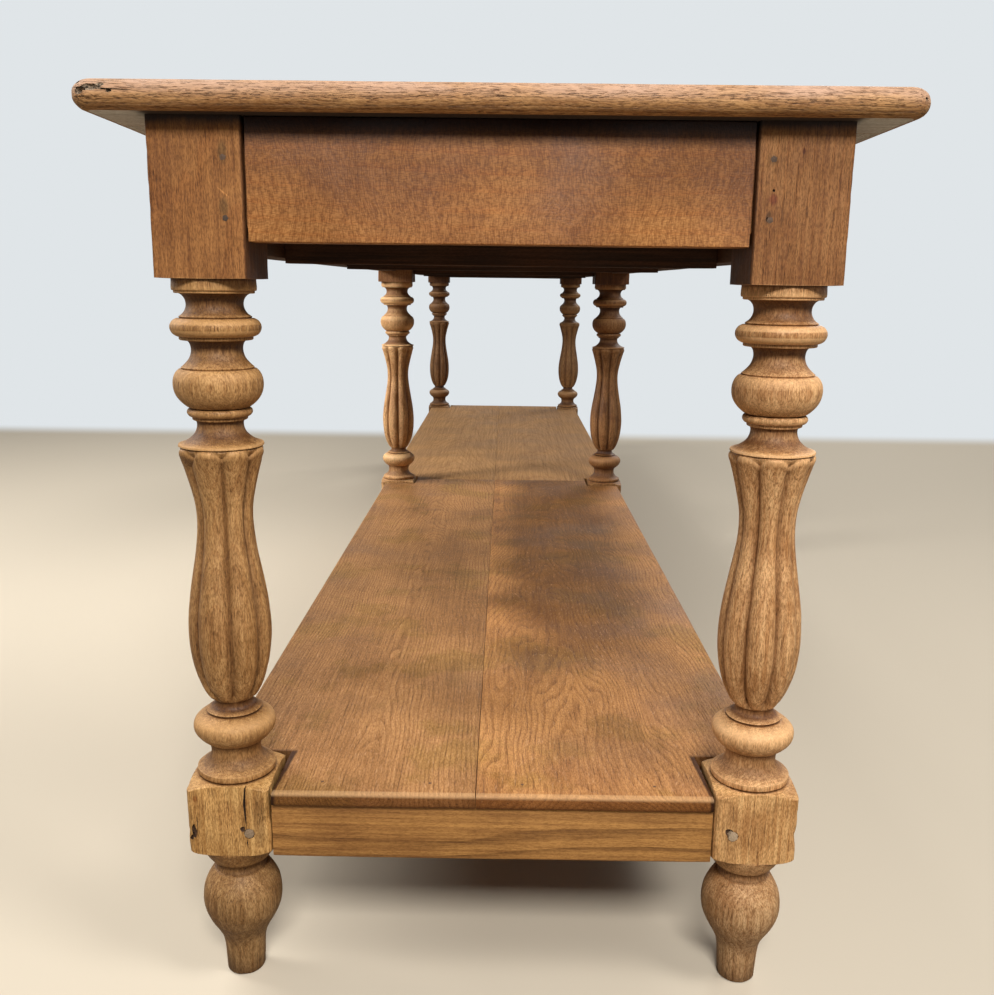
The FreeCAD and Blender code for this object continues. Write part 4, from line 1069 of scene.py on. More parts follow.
# %% Outlines and edges
def inset_outline(points, insets):
    """Moves each side of an outline inwards by its own distance, and finds the new corners."""
    count = len(points)
    lines = []
    for i in range(count):
        a, b = np.array(points[i]), np.array(points[(i + 1) % count])
        ahead = (b - a) / np.linalg.norm(b - a)
        inward = np.array([-ahead[1], ahead[0]])
        lines.append((a + inward * insets[i], ahead))
    corners = []
    for i in range(count):
        (a, da), (b, db) = lines[i - 1], lines[i]
        cross = da[0] * db[1] - da[1] * db[0]
        if abs(cross) < 1e-6:
            corners.append(b)
        else:
            t = ((b - a)[0] * db[1] - (b - a)[1] * db[0]) / cross
            corners.append(a + da * t)
    return corners


def divided(points, kinds, step):
    """Cuts long sides of an outline into shorter ones."""
    new_points, new_kinds = [], []
    for i, (point, kind) in enumerate(zip(points, kinds)):
        after = points[(i + 1) % len(points)]
        pieces = max(1, int(math.dist(point, after) / step))
        for k in range(pieces):
            share = k / pieces
            new_points.append(tuple(a + (b - a) * share for a, b in zip(point, after)))
            new_kinds.append(kind)
    return new_points, new_kinds


def edge_steps(top_round, foot_round, thickness, steps=5):
    """How far in and how high each step of an edge is, from the foot of the slab to its face."""
    marks = []
    for i in range(steps + 1):
        angle = math.pi / 2 * i / steps
        marks.append((foot_round * (1 - math.sin(angle)), foot_round * (1 - math.cos(angle))))
    for i in range(steps + 1):
        angle = math.pi / 2 * i / steps
        marks.append((top_round * (1 - math.cos(angle)), thickness - top_round * (1 - math.sin(angle))))
    return marks


TOP_FOOT, TOP_THICK = 832 * MM, 24 * MM
TOP_EDGES = {"nose": edge_steps(12.4 * MM, 11.6 * MM, TOP_THICK, steps=7),
             "joint": edge_steps(1.1 * MM, 0.8 * MM, TOP_THICK, steps=7)}
print("steps up the round nose of the top:", len(TOP_EDGES["nose"]))

# %% [markdown]
# A slab could be pulled up from its outline and bevelled, but then its worn edge would be the
# same all along. It is built ring by ring instead, from its foot up to its face. Each ring is the
# outline, moved in by that step of the edge, and a little noise keeps it from running dead
# straight. The face underneath can have a finish of its own, because nobody ever scrubbed it.

# %% A slab with a moulded edge
def slab(name, outline, kinds, edges, foot, seed=0.0, waver=0.4 * MM, step=0.03, materials=()):
    """A slab on an anticlockwise outline; kinds names the edge that each side gets."""
    outline, kinds = divided(outline, kinds, step)
    bm = bmesh.new()
    rings = []
    for level in range(len(next(iter(edges.values())))):
        insets = [edges[kind][level][0] for kind in kinds]
        corners = inset_outline(outline, insets)
        ring = []
        for i, (x, y) in enumerate(corners):
            kind = kinds[i] if kinds[i] in ("nose", "front") else kinds[i - 1]
            height = edges[kind][level][1]
            rough = noise.noise(Vector((x * 14, y * 14, seed + level * 0.35))) * waver
            on_edge = 0 < level < len(edges[kind]) - 1
            z = foot + height + rough * 0.3 * on_edge
            ring.append(bm.verts.new((x + rough * 0.5, y + rough * 0.5, z)))
        rings.append(ring)
    for lower, upper in zip(rings, rings[1:]):
        for i in range(len(lower)):
            bm.faces.new((lower[i - 1], lower[i], upper[i], upper[i - 1]))
    under = bm.faces.new(rings[0][::-1])
    face = bm.faces.new(rings[-1])
    bmesh.ops.recalc_face_normals(bm, faces=bm.faces)
    if len(materials) > 1:
        under.material_index = 1
    bmesh.ops.triangulate(bm, faces=[under, face])
    mesh = bpy.data.meshes.new(name)
    bm.to_mesh(mesh)
    bm.free()
    for material in materials:
        mesh.materials.append(material)
    piece = plain_object(name, mesh)
    smooth_by_angle(piece, 42)
    print(name, "has", len(mesh.polygons), "faces")
    return piece


print("a slab takes one edge per side, of:", ", ".join(TOP_EDGES))

# %% [markdown]
# ## The top
# Sun and scrubbing have bleached the top. Its outer edge is pale and pinkish on its upper half,
# honey-coloured below, and the pores stand open. Underneath, the boards never saw any wax and
# went grey; that grey is painted far paler than the wood, as painted light thrown up from the
# floor, and over the frame it is painted nearly black, as painted shade. The whole top could be
# painted in one pale colour, but the bleaching fades with the height and never took evenly, so it
# is mixed in by height and by noise, as one more extra on top of the plain oak.

# %% Finishes for the top
BLEACH_HEIGHTS = (0.838, 0.853)      # the bleaching fades in between these heights, in metres


def bleached(tree, split, colour, height, drawn=(14.0, 34.0, 34.0), least=0.35, most=0.90):
    """Paler and pinker towards the upper face, in patches drawn out along the grain."""
    patch = stretched(tree, object_place(tree), drawn, detail=3.0).outputs[0]
    up = ramp(tree, split.outputs[2], *BLEACH_HEIGHTS)
    amount = calc(tree, "MULTIPLY", up, ramp(tree, patch, 0.3, 0.66, least, most))
    return blend(tree, "MIX", amount, colour, paint(196, 159, 134)), height


def open_pored(tree, split, colour, height):
    """The clamp's edge: bleached above, with short dark dashes where the pores stand open."""
    dashes = stretched(tree, object_place(tree), (105.0, 780.0, 780.0), detail=1.0).outputs[0]
    dashes = ramp(tree, dashes, 0.60, 0.73)
    colour, height = bleached(tree, split, colour, height)
    colour = tinted(tree, dashes, colour, (0.66, 0.57, 0.50))
    return colour, calc(tree, "MULTIPLY_ADD", dashes, -1.2, height)


def scrubbed(tree, split, colour, height):
    """The boards' upper face: an even grey-brown, a little streaked along the boards."""
    return bleached(tree, split, colour, height, drawn=(24.0, 1.6, 24.0), least=0.15, most=0.48)


def painted_shade_over_frame(tree, split, colour, height):
    """Painted shade: over the frame the underside is darkened nearly to black."""
    beside = calc(tree, "ABSOLUTE", split.outputs[0])
    # Painted shade: darkened to less than a tenth within the frame.
    return tinted(tree, ramp(tree, beside, 0.304, 0.290), colour, (0.09, 0.06, 0.045)), height


end_oak = oak("oak_clamp", "X", pale=paint(206, 158, 104), deep=paint(164, 115, 69), shift=(0.9, 0.2, 0.1),
              pith=(0.2, 0.98), lean=0.02, ring=0.0030, bend=0.012, ring_strength=0.45, pore_strength=1.0,
              pore_size=(1200.0, 110.0), rough=(0.6, 0.8), relief=1.0, clouds=26.0, speckle=0.36,
              extra=open_pored)
board_oak = oak("oak_top_boards", "Y", pale=paint(196, 154, 108), deep=paint(156, 114, 74),
                shift=(0.4, 0.0, 0.3), pith=(0.42, 0.74), lean=0.03, ring=0.0036, bend=0.022,
                ring_strength=0.72, pore_strength=0.9, rough=(0.6, 0.8), relief=0.7, extra=scrubbed)
# Painted light: the underside's grey is given near-white colours, for light thrown up from the floor.
under_end = oak("oak_under_clamp", "X", pale=paint(240, 237, 230), deep=paint(204, 198, 188),
                shift=(0.5, 0.2, 0.1), pith=(0.2, 0.6), ring_strength=0.4, pore_strength=0.6,
                rough=(0.75, 0.9), extra=painted_shade_over_frame)
under_boards = oak("oak_under_boards", "Y", pale=paint(240, 237, 230), deep=paint(200, 194, 184),
                   shift=(0.5, 0.2, 0.1), pith=(0.3, 0.9), ring_strength=0.5, pore_strength=0.6,
                   rough=(0.75, 0.9), extra=painted_shade_over_frame)
print("finishes of the top:", [wood.name for wood in (end_oak, board_oak, under_end, under_boards)])

# %% [markdown]
# Wide boards swell and shrink across their grain. A clamp is a board laid across their ends,
# which keeps them flat and still lets them move. The three long boards and the two clamps could
# be one sheet with lines drawn on it, but the joints would then have no depth, so each is a slab
# of its own. Only the clamps have rounded corners.

# %% Boards and clamped ends of the top
HALF_WIDE, HALF_LONG, CLAMP = 348.5 * MM, 1567 * MM, 93 * MM
CORNER = 19 * MM
JOINT = 0.2 * MM


def clamp_outline(sign):
    """The outline of a clamped end, anticlockwise from the inner left corner of the near one."""
    right = [(HALF_WIDE - CORNER + CORNER * math.sin(t), -HALF_LONG + CORNER - CORNER * math.cos(t))
             for t in (math.pi / 2 * i / 6 for i in range(7))]
    left = [(-x, y) for x, y in reversed(right)]
    inner = -HALF_LONG + CLAMP - JOINT
    points = left + right + [(HALF_WIDE, inner), (-HALF_WIDE, inner)]
    kinds = ["nose"] * (len(points) - 2) + ["joint", "nose"]
    if sign > 0:
        points = [(-x, -y) for x, y in points]
    return points, kinds


for row, sign in (("near", -1), ("far", 1)):
    points, kinds = clamp_outline(sign)
    clamp = slab(f"clamped_end_{row}", points, kinds, TOP_EDGES, TOP_FOOT, seed=2.0 + sign, waver=1.0 * MM,
                 step=0.012, materials=(end_oak, under_end))
    finish_piece(clamp, "top_oak", f"breadboard_end_{row}")
third = HALF_WIDE * 2 / 3
reach = HALF_LONG - CLAMP - JOINT
for name, low, high, left_kind, right_kind in (("left", -HALF_WIDE, -HALF_WIDE + third, "nose", "joint"),
                                               ("middle", -third / 2, third / 2, "joint", "joint"),
                                               ("right", HALF_WIDE - third, HALF_WIDE, "joint", "nose")):
    low, high = low + JOINT / 2, high - JOINT / 2
    points = [(low, -reach), (high, -reach), (high, reach), (low, reach)]
    board = slab(f"top_plank_{name}", points, ["joint", right_kind, "joint", left_kind], TOP_EDGES, TOP_FOOT,
                 seed=4.0, waver=0.9 * MM, step=0.03, materials=(board_oak, under_boards))
    finish_piece(board, "top_oak", f"top_board_{name}")
print("the top is", round(2 * HALF_LONG, 3), "by", round(2 * HALF_WIDE, 3), "m")

# %% [markdown]
# ## The shelf
# The shelf boards are flat-sawn, so the rings show as arches along each board. The two boards of
# the near bay come from different logs: the left one is duller, and the right one is redder, and
# darker along its middle, partly its own colour and partly painted shadow of the top. Pale flecks
# lie all over. Handling shows most at the front, in dark end grain and an arris that was rubbed
# pale; the board beside each notch is darkened as painted shade. The marks could be painted on a
# flat picture of each board; places in metres do the same, and stay right if a board is cut anew.

# %% Handling marks on the shelf
def handled_edge_and_notch_shade(tree, split, colour, height):
    """Pale flecks all over; the front end grain went dark, its upper arris was rubbed pale, and beside each
    notch the board is darkened as painted shade.
    """
    across, along, up = split.outputs
    place = object_place(tree)
    sway = vector(tree, "MULTIPLY", cloudy(tree, place, 9.0).outputs["Color"], (0.05, 0.0, 0.05))
    bent = vector(tree, "ADD", sway, place)
    olive = cloudy(tree, bent, 8.0, detail=4.0, roughness=0.6).outputs[0]
    colour = tinted(tree, ramp(tree, olive, 0.50, 0.62), colour, (0.84, 0.87, 0.74))
    flecks = stretched(tree, bent, (620.0, 62.0, 620.0)).outputs[0]
    colour = blend(tree, "MIX", ramp(tree, flecks, 0.58, 0.80, 0.0, 0.38), colour, paint(232, 186, 142))
    colour = tinted(tree, ramp(tree, flecks, 0.42, 0.24), colour, (0.80, 0.74, 0.66))
    # Painted shade: the strip of board beside the notch, by the leg, is darkened.
    beside = calc(tree, "MULTIPLY_ADD", along, 0.057, calc(tree, "ABSOLUTE", across))
    corner = calc(tree, "MULTIPLY", ramp(tree, beside, 0.1205, 0.1232), ramp(tree, along, -1.4480, -1.4560))
    colour = tinted(tree, corner, colour, (0.16, 0.12, 0.10))
    low_part = calc(tree, "MULTIPLY", ramp(tree, along, -1.5362, -1.5385), ramp(tree, up, 0.2172, 0.2145))
    colour = tinted(tree, low_part, colour, (0.50, 0.40, 0.30))
    rub = calc(tree, "MULTIPLY", ramp(tree, along, -1.5335, -1.5362), ramp(tree, up, 0.2130, 0.2160))
    return blend(tree, "MIX", calc(tree, "MULTIPLY", rub, 0.35), colour, paint(222, 180, 132)), height


def dark_middle_and_shadow(tree, split, colour, height):
    """The middle of the right-hand board is darker: partly its own colour, partly painted shadow of the top.
    """
    wander = cloudy(tree, object_place(tree), 5.0, detail=3.0).outputs[0]
    across = calc(tree, "MULTIPLY_ADD", wander, 0.16, split.outputs[0])
    along = calc(tree, "MULTIPLY_ADD", wander, 0.5, split.outputs[1])
    mask = calc(tree, "MULTIPLY", ramp(tree, across, 0.04, 0.15), ramp(tree, across, 0.36, 0.25))
    mask = calc(tree, "MULTIPLY", mask, ramp(tree, along, -1.25, -0.75))
    # The board's own colour and painted shadow: the middle of the board is darkened.
    return handled_edge_and_notch_shade(tree, split, tinted(tree, mask, colour, (0.46, 0.41, 0.28)), height)


SEEN = dict(lean=0.060, ring=0.0042, band=0.62, speckle=0.34, pore_strength=0.74, loose_pores=0.30,
            streaky=0.42, rough=(0.50, 0.66), relief=0.5, gloss=0.18)
UNSEEN = dict(lean=0.04, ring=0.0046, bend=0.028, ring_strength=0.35, pore_strength=0.5,
              rough=(0.62, 0.76), relief=0.45, gloss=0.2)
shelf_finish = {
    ("near", "left"): oak("oak_shelf_near_left", "Y", pale=paint(200, 149, 98), deep=paint(148, 104, 62),
                          shift=(0.0, -0.2, 0.0), pith=(-0.12, -0.077), bend=0.060, swirl=0.020,
                          ring_strength=0.58, extra=handled_edge_and_notch_shade, **SEEN),
    ("near", "right"): oak("oak_shelf_near_right", "Y", pale=paint(218, 160, 101), deep=paint(164, 112, 65),
                           shift=(0.0, -0.2, 0.6), pith=(0.085, -0.120), bend=0.055, swirl=0.022,
                           ring_strength=0.62, extra=dark_middle_and_shadow, **SEEN),
    ("far", "left"): oak("oak_shelf_far_left", "Y", pale=paint(206, 160, 108), deep=paint(164, 122, 77),
                         shift=(0.3, -0.2, 1.9), pith=(0.18, -0.05), **UNSEEN),
    ("far", "right"): oak("oak_shelf_far_right", "Y", pale=paint(202, 156, 104), deep=paint(160, 118, 74),
                          shift=(0.7, -0.2, 2.4), pith=(0.80, -0.05), **UNSEEN),
}
print("shelf finishes:", [wood.name for wood in shelf_finish.values()])

# %% [markdown]
# A shelf board is notched round the legs at three places. The notch could be cut from a plain
# board with a Boolean, but an outline with its corners in the right order gives clean edges at
# once. The gap beside a leg is a little wider at the back of a notch than at its front, as hand
# sawing leaves it.

# %% Shelf boards
SHELF_FOOT, SHELF_THICK = 202 * MM, 16 * MM
SHELF_EDGES = {"front": edge_steps(3.6 * MM, 5.4 * MM, SHELF_THICK),
               "plain": edge_steps(0.9 * MM, 0.5 * MM, SHELF_THICK)}
NOTCH_GAPS = {"left": (2.5 * MM, 4 * MM), "right": (2.0 * MM, 5 * MM)}   # at its front and at its back
LEG_INSIDE = 215 * MM
for bay, bay_sign in (("near", -1), ("far", 1)):
    for side, sign in (("left", -1), ("right", 1)):
        edge = (295 - 11) * MM * sign
        notch_front, notch = ((LEG_INSIDE - gap) * sign for gap in NOTCH_GAPS[side])
        seam = -16 * MM + 0.25 * MM * sign
        end, end_notch = 1540 * MM * bay_sign, 1453 * MM * bay_sign
        butt, middle_notch = 12 * MM + 0.15 * MM * bay_sign, 47 * MM * bay_sign
        points = [(seam, butt), (notch, butt), (notch, middle_notch), (edge, middle_notch),
                  (edge, end_notch), (notch, end_notch), (notch_front, end), (seam, end)]
        kinds = ["plain", "plain", "plain", "front", "plain", "plain", "front", "plain"]
        if sign * bay_sign < 0:
            points, kinds = points[::-1], kinds[-2::-1] + kinds[-1:]
        board = slab(f"shelf_plank_{bay}_{side}", points, kinds, SHELF_EDGES, SHELF_FOOT, seed=11.0 + sign,
                     waver=0.7 * MM, step=0.025, materials=(shelf_finish[bay, side],))
        finish_piece(board, "shelf_oak", f"shelf_board_{bay}_{side}")
print("the shelf's face lies at", round(SHELF_FOOT + SHELF_THICK, 3), "m")

# %% [markdown]
# ## Pegs and nails
# Every tenon is locked by an oak peg that was whittled to eight sides and driven through. Each
# could be modelled by hand, but pegs repeat, so Geometry Nodes place them: a cloud of points gives
# their places, and the tree makes one peg, tapers and domes its head, turns each by its own
# chance angle, and roughs them all up. The same tree with four sides makes the cut nails of the
# shelf.

# %% The peg tree
PEG_INPUTS = {
    "NodeSocketInt": ["Sides"], "NodeSocketFloat": ["Radius", "Length", "Wear"],
    "NodeSocketVector": ["Lie", "Spin"], "NodeSocketMaterial": ["Finish"],
}


def peg_tree():
    """One peg, shaped, laid along its hole, set on every point and roughed up."""
    tree = bpy.data.node_groups.new("drive_pegs", "GeometryNodeTree")
    tree.interface.new_socket("Places", in_out="INPUT", socket_type="NodeSocketGeometry")
    for kind, keys in PEG_INPUTS.items():
        for key in keys:
            tree.interface.new_socket(key, in_out="INPUT", socket_type=kind)
    tree.interface.new_socket("Geometry", in_out="OUTPUT", socket_type="NodeSocketGeometry")
    given = add(tree, "NodeGroupInput").outputs

    shank = add(tree, "GeometryNodeMeshCylinder",
                {"Vertices": given["Sides"], "Side Segments": 8, "Fill Segments": 2,
                 "Radius": given["Radius"], "Depth": given["Length"]}, fill_type="TRIANGLE_FAN")
    place = add(tree, "ShaderNodeSeparateXYZ", {0: add(tree, "GeometryNodeInputPosition").outputs[0]})
    x, y, z = place.outputs
    reach = calc(tree, "SQRT", calc(tree, "ADD", calc(tree, "MULTIPLY", x, x), calc(tree, "MULTIPLY", y, y)))
    end_height = calc(tree, "MULTIPLY", given["Length"], 0.5)
    at_end = ramp(tree, calc(tree, "ABSOLUTE", z), calc(tree, "MULTIPLY", end_height, 0.9), end_height)
    narrow = calc(tree, "MULTIPLY_ADD", at_end, -0.10, 1.0)
    dome = calc(tree, "MULTIPLY", calc(tree, "SUBTRACT", given["Radius"], reach),
                calc(tree, "MULTIPLY", at_end, 0.16))
    dome = calc(tree, "MULTIPLY", dome, calc(tree, "SIGN", z))
    shaped = add(tree, "ShaderNodeCombineXYZ",
                 {0: calc(tree, "MULTIPLY", x, narrow), 1: calc(tree, "MULTIPLY", y, narrow),
                  2: calc(tree, "ADD", z, dome)}).outputs[0]
    peg = add(tree, "GeometryNodeSetPosition", {"Geometry": shank.outputs["Mesh"], "Position": shaped})
    laid = add(tree, "GeometryNodeTransform", {"Geometry": peg.outputs[0], "Rotation": given["Lie"]})

    chance = add(tree, "FunctionNodeRandomValue",
                 {"Min": (-1.0, -1.0, -1.0), "Max": (1.0, 1.0, 1.0), "Seed": 7}, data_type="FLOAT_VECTOR")
    turned = vector(tree, "MULTIPLY", chance.outputs[0], given["Spin"])
    driven = add(tree, "GeometryNodeInstanceOnPoints",
                 {"Points": given["Places"], "Instance": laid.outputs[0], "Rotation": turned})
    solid = add(tree, "GeometryNodeRealizeInstances", {"Geometry": driven.outputs[0]})
    rough = add(tree, "ShaderNodeTexNoise", {"Scale": 240.0, "Detail": 2.0})
    knock = vector(tree, "SUBTRACT", rough.outputs["Color"], (0.5, 0.5, 0.5))
    knock = add(tree, "ShaderNodeVectorMath", {0: knock, "Scale": given["Wear"]}, operation="SCALE")
    worn = add(tree, "GeometryNodeSetPosition", {"Geometry": solid.outputs[0], "Offset": knock.outputs[0]})
    dressed = add(tree, "GeometryNodeSetMaterial", {"Geometry": worn.outputs[0], "Material": given["Finish"]})
    add(tree, "NodeGroupOutput", {0: dressed.outputs[0]})
    return tree


drive_pegs = peg_tree()
print("inputs of the peg tree:", [item.name for item in drive_pegs.interface.items_tree])

# %% [markdown]
# A peg shows only its end grain, which soaks up dirt and goes dark, or grey where it is rubbed.
# The nails are rusty iron. Rings would be too small to see on either, so both are a speckle of
# two colours, with a slower noise that makes one peg paler than its neighbour.

# %% Peg and nail finishes
def fixing_finish(name, low, high, fine, rough, metal=0.0):
    """A speckled end of wood or iron; fine is the speckle in cycles to the metre."""
    material, tree, shader = bare_material(name)
    place = object_place(tree)
    speck = cloudy(tree, place, fine, detail=4.0, roughness=0.7).outputs[0]
    which = cloudy(tree, place, 17.0, detail=0.0).outputs[0]
    tone = calc(tree, "MULTIPLY_ADD", which, 0.9, calc(tree, "MULTIPLY", speck, 0.5))
    colour = blend(tree, "MIX", ramp(tree, tone, 0.45, 0.95), low, high)
    tree.links.new(colour, shader.inputs["Base Color"])
    shader.inputs["Roughness"].default_value = rough
    shader.inputs["Metallic"].default_value = metal
    bump = add(tree, "ShaderNodeBump", {"Strength": 0.6, "Distance": 0.0005, "Height": speck})
    tree.links.new(bump.outputs[0], shader.inputs["Normal"])
    return material


peg_wood = fixing_finish("peg_end_grain", paint(46, 33, 25), paint(96, 74, 56), 900.0, 0.8)
grey_peg_wood = fixing_finish("peg_end_grain_grey", paint(120, 98, 76), paint(190, 166, 136), 700.0, 0.8)
brown_peg_wood = fixing_finish("peg_end_grain_brown", paint(50, 40, 33), paint(96, 74, 58), 620.0, 0.8)
nail_rust = fixing_finish("nail_rust", paint(58, 40, 30), paint(112, 78, 54), 700.0, 0.7, metal=0.3)
print("fixing finishes:", [wood.name for wood in (peg_wood, grey_peg_wood, brown_peg_wood, nail_rust)])

# %% [markdown]
# The places could be measured again one by one, but the CAD frame knows them: each loose part of
# a CAD peg node is one peg, and its box gives the place and the length. On the photographed end
# a few pegs sit a little off the drawing, so those are nudged.

# %% Finding the pegs in the frame
def loose_boxes(node):
    """The box of each separate part of a CAD node."""
    bm = bmesh.new()
    bm.from_mesh(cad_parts[node].data)
    bmesh.ops.remove_doubles(bm, verts=bm.verts, dist=1e-6)
    left, boxes = set(bm.verts), []
    while left:
        group, heap = set(), [left.pop()]
        while heap:
            vert = heap.pop()
            group.add(vert)
            for edge in vert.link_edges:
                other = edge.other_vert(vert)
                if other in left:
                    left.discard(other)
                    heap.append(other)
        places = np.array([vert.co for vert in group])
        boxes.append((Vector(places.min(0)), Vector(places.max(0))))
    bm.free()
    return sorted(boxes, key=lambda box: tuple(box[0]))


NUDGES = [  # near which place, how far away at most, and how far the real peg sits from it
    (Vector((-0.228, -1.525, 0.78)), 0.05, Vector((-3, 0, -7)) * MM),
    (Vector((0.228, -1.525, 0.78)), 0.05, Vector((0, 0, -4)) * MM),
    (Vector((0.235, -1.525, 0.174)), 0.03, Vector((-2, 0, 5)) * MM),
]
print("pegs in the end aprons:", len(loose_boxes("end_apron_pegs")))

# %% [markdown]
# Each kind of peg is driven in one go, with its own thickness, finish and wear. The pegs of the
# end aprons fill their holes, and so do the nails; round the others a dark line shows, so their
# places are noted for the holes that are cut later.

# %% Driving the pegs and nails
LIES = {  # for a peg along X, Y or Z: how it is laid, and about which axis chance may spin it
    0: ((0, math.pi / 2, 0), (0.9, 0, 0)), 1: ((math.pi / 2, 0, 0), (0, 0.9, 0)), 2: ((0, 0, 0), (0, 0, 0.9)),
}
peg_spots = []


def drive(name, node, slot, along, radius, finish, sides=8, proud=0.5 * MM, wear=0.9 * MM, tight=False):
    """Pegs along one axis in the places of a CAD node; a tight one needs no hole round it."""
    boxes = loose_boxes(node)
    length = boxes[0][1][along] - boxes[0][0][along] + 2 * proud
    places = []
    for low, high in boxes:
        middle = (low + high) / 2
        for spot, reach, nudge in NUDGES:
            if along == 1 and (middle - spot).length < reach:
                middle += nudge
        places.append(middle)
        if not tight:
            peg_spots.append((middle, along, length, radius))
    mesh = bpy.data.meshes.new("peg_places")
    mesh.from_pydata(places, [], [])
    lie, spin = LIES[along]
    piece = grown(name, plain_object("peg_places", mesh), drive_pegs, {
        "Sides": sides, "Radius": radius, "Length": length, "Wear": wear, "Lie": lie, "Spin": spin,
        "Finish": finish})
    smooth_by_angle(piece, 20)
    finish_piece(piece, slot, node)
    print(name, len(places), "of length", round(length, 4))


drive("whittled_pegs_clamps", "breadboard_pegs", "peg_oak", 2, 4.6 * MM, peg_wood, proud=0.3 * MM)
drive("whittled_pegs_end_aprons", "end_apron_pegs", "peg_oak", 1, 3.2 * MM, brown_peg_wood, sides=5,
      proud=0.1 * MM, wear=1.6 * MM, tight=True)
drive("whittled_pegs_long_aprons", "side_apron_pegs", "peg_oak", 0, 3.6 * MM, peg_wood, proud=0.1 * MM)
drive("whittled_pegs_end_stretchers", "end_stretcher_pegs", "peg_oak", 1, 5.2 * MM, grey_peg_wood,
      proud=1.0 * MM, wear=1.8 * MM)
drive("whittled_pegs_long_stretchers", "side_stretcher_pegs", "peg_oak", 0, 4.6 * MM, grey_peg_wood,
      proud=0.4 * MM)
drive("cut_nails", "shelf_nails", "nail_iron", 2, 2.2 * MM, nail_rust, sides=4, proud=0.1 * MM,
      wear=0.2 * MM, tight=True)
glue_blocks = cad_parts["glue_blocks"].data
glue_blocks.materials.clear()
glue_blocks.materials.append(cross_oak)

# %% [markdown]
# ## Holes and damage
# Now the legs and clamps get the holes that the pegs sit in, a hair wider than the pegs so that
# a dark line shows round each, and the damage of a working life: the long drying split over the
# left-hand peg, the gouge by the knot and the chip beside the right-hand peg. Colour alone could
# hint at them, but only a real cut catches the light and shows its depth.

# %% Holes, splits and chips in the legs
def hole(spot, along, length, radius, sign, deep=2.4 * MM):
    """A cutter round the end of a peg; deep is how far it goes into the wood."""
    way = Vector([float(sign) if i == along else 0.0 for i in range(3)])
    return prism(spot + way * (length / 2), way, radius + 0.25 * MM, 2 * deep)


SPLITS = {  # the places of a split from end to end in metres, then its width and depth in millimetres
    "near_left": [
        ([(-0.2360, -1.539, 0.2330), (-0.2378, -1.540, 0.2180), (-0.2386, -1.540, 0.205),
          (-0.2380, -1.540, 0.191), (-0.2376, -1.540, 0.177)], 3.2, 10),
        ([(-0.2365, -1.540, 0.170), (-0.2372, -1.540, 0.164), (-0.2360, -1.540, 0.157)], 1.8, 6),
        ([(-0.2230, -1.540, 0.207), (-0.2215, -1.540, 0.190), (-0.2225, -1.540, 0.178)], 0.9, 3),
        ([(-0.2860, -1.540, 0.196), (-0.2850, -1.540, 0.184), (-0.2858, -1.540, 0.172)], 1.2, 5),
    ],
    "near_right": [
        ([(0.2310, -1.540, 0.214), (0.2318, -1.540, 0.200), (0.2312, -1.540, 0.190)], 0.9, 3),
    ],
}
CHIPS = {  # the middle of a chip in metres, and its half sizes in millimetres
    "near_left": [
        ((-0.2885, -1.5385, 0.176), (2.6, 3.0, 9.0)), ((-0.2905, -1.5370, 0.168), (3.0, 3.0, 5.0)),
        ((-0.2412, -1.5400, 0.1785), (2.8, 2.6, 3.0)),
    ],
    "near_right": [
        ((0.2290, -1.5400, 0.1835), (3.6, 3.4, 3.8)), ((0.2297, -1.5400, 0.7765), (1.2, 2.2, 1.3)),
        ((0.2258, -1.5400, 0.7535), (1.3, 1.6, 1.8)),
    ],
}
INTO = Vector((0, 1, 0))             # into the wood, from the photographed end
for name, leg in legs.items():
    centre = Vector((*LEG_PLACES[name], 0.0))
    cuts = []
    for spot, along, length, radius in peg_spots:
        if along != 2 and abs(spot.x - centre.x) < 0.05 and abs(spot.y - centre.y) < 0.05:
            cuts.append(hole(spot, along, length, radius, 1 if (spot - centre)[along] > 0 else -1))
    for path, width, depth in SPLITS.get(name, []):
        cuts.append(split_wedge(path, INTO, width * MM, depth * MM))
    for seed, (place, size) in enumerate(CHIPS.get(name, [])):
        cuts.append(gouge(place, [c * MM for c in size], seed))
    carve(leg, cuts, dark_wood)
    smooth_by_angle(leg)
    print(name, "after cutting:", len(leg.data.polygons))

# %% [markdown]
# The left corner of the near clamp is the table's worst spot. Damp, worm and knocks opened its
# end grain into long ragged splits with hollows between them. A displaced surface would only
# look crumpled; wedges and knobbly hollows, cut one beside the other, leave ridges of wood
# standing between them, as the real corner has. The last hollow of the list is a small one at
# the right corner.

# %% The worm-eaten corner of the clamp
END = -HALF_LONG                     # the outer edge of the near clamp
RAGGED_SPLITS = [
    ([(-0.349, END + 0.012, 0.8485), (-0.338, END + 0.002, 0.8478), (-0.318, END, 0.8465),
      (-0.300, END, 0.8460), (-0.286, END, 0.8452)], 2.2, 4.5),
    ([(-0.340, END + 0.004, 0.8515), (-0.325, END + 0.001, 0.8520), (-0.308, END + 0.001, 0.8505),
      (-0.296, END + 0.001, 0.8508)], 1.6, 3.5),
    ([(-0.346, END + 0.008, 0.8415), (-0.333, END + 0.001, 0.8405), (-0.318, END, 0.8412)], 1.3, 3),
    ([(-0.306, END, 0.8495), (-0.280, END, 0.8488), (-0.262, END, 0.8492)], 0.9, 3),
]
WORM_HOLLOWS = [
    ((-0.327, END + 0.001, 0.8475), (8.5, 3.0, 3.4)), ((-0.336, END + 0.003, 0.8452), (5.0, 3.4, 3.2)),
    ((-0.320, END + 0.001, 0.8502), (3.6, 2.6, 1.8)), ((-0.341, END + 0.007, 0.8525), (3.0, 3.0, 1.6)),
    ((-0.312, END, 0.8450), (2.4, 3.0, 1.4)), ((0.3395, END + 0.0045, 0.8455), (1.8, 2.6, 1.5)),
]
clamp = bpy.data.objects["clamped_end_near"]
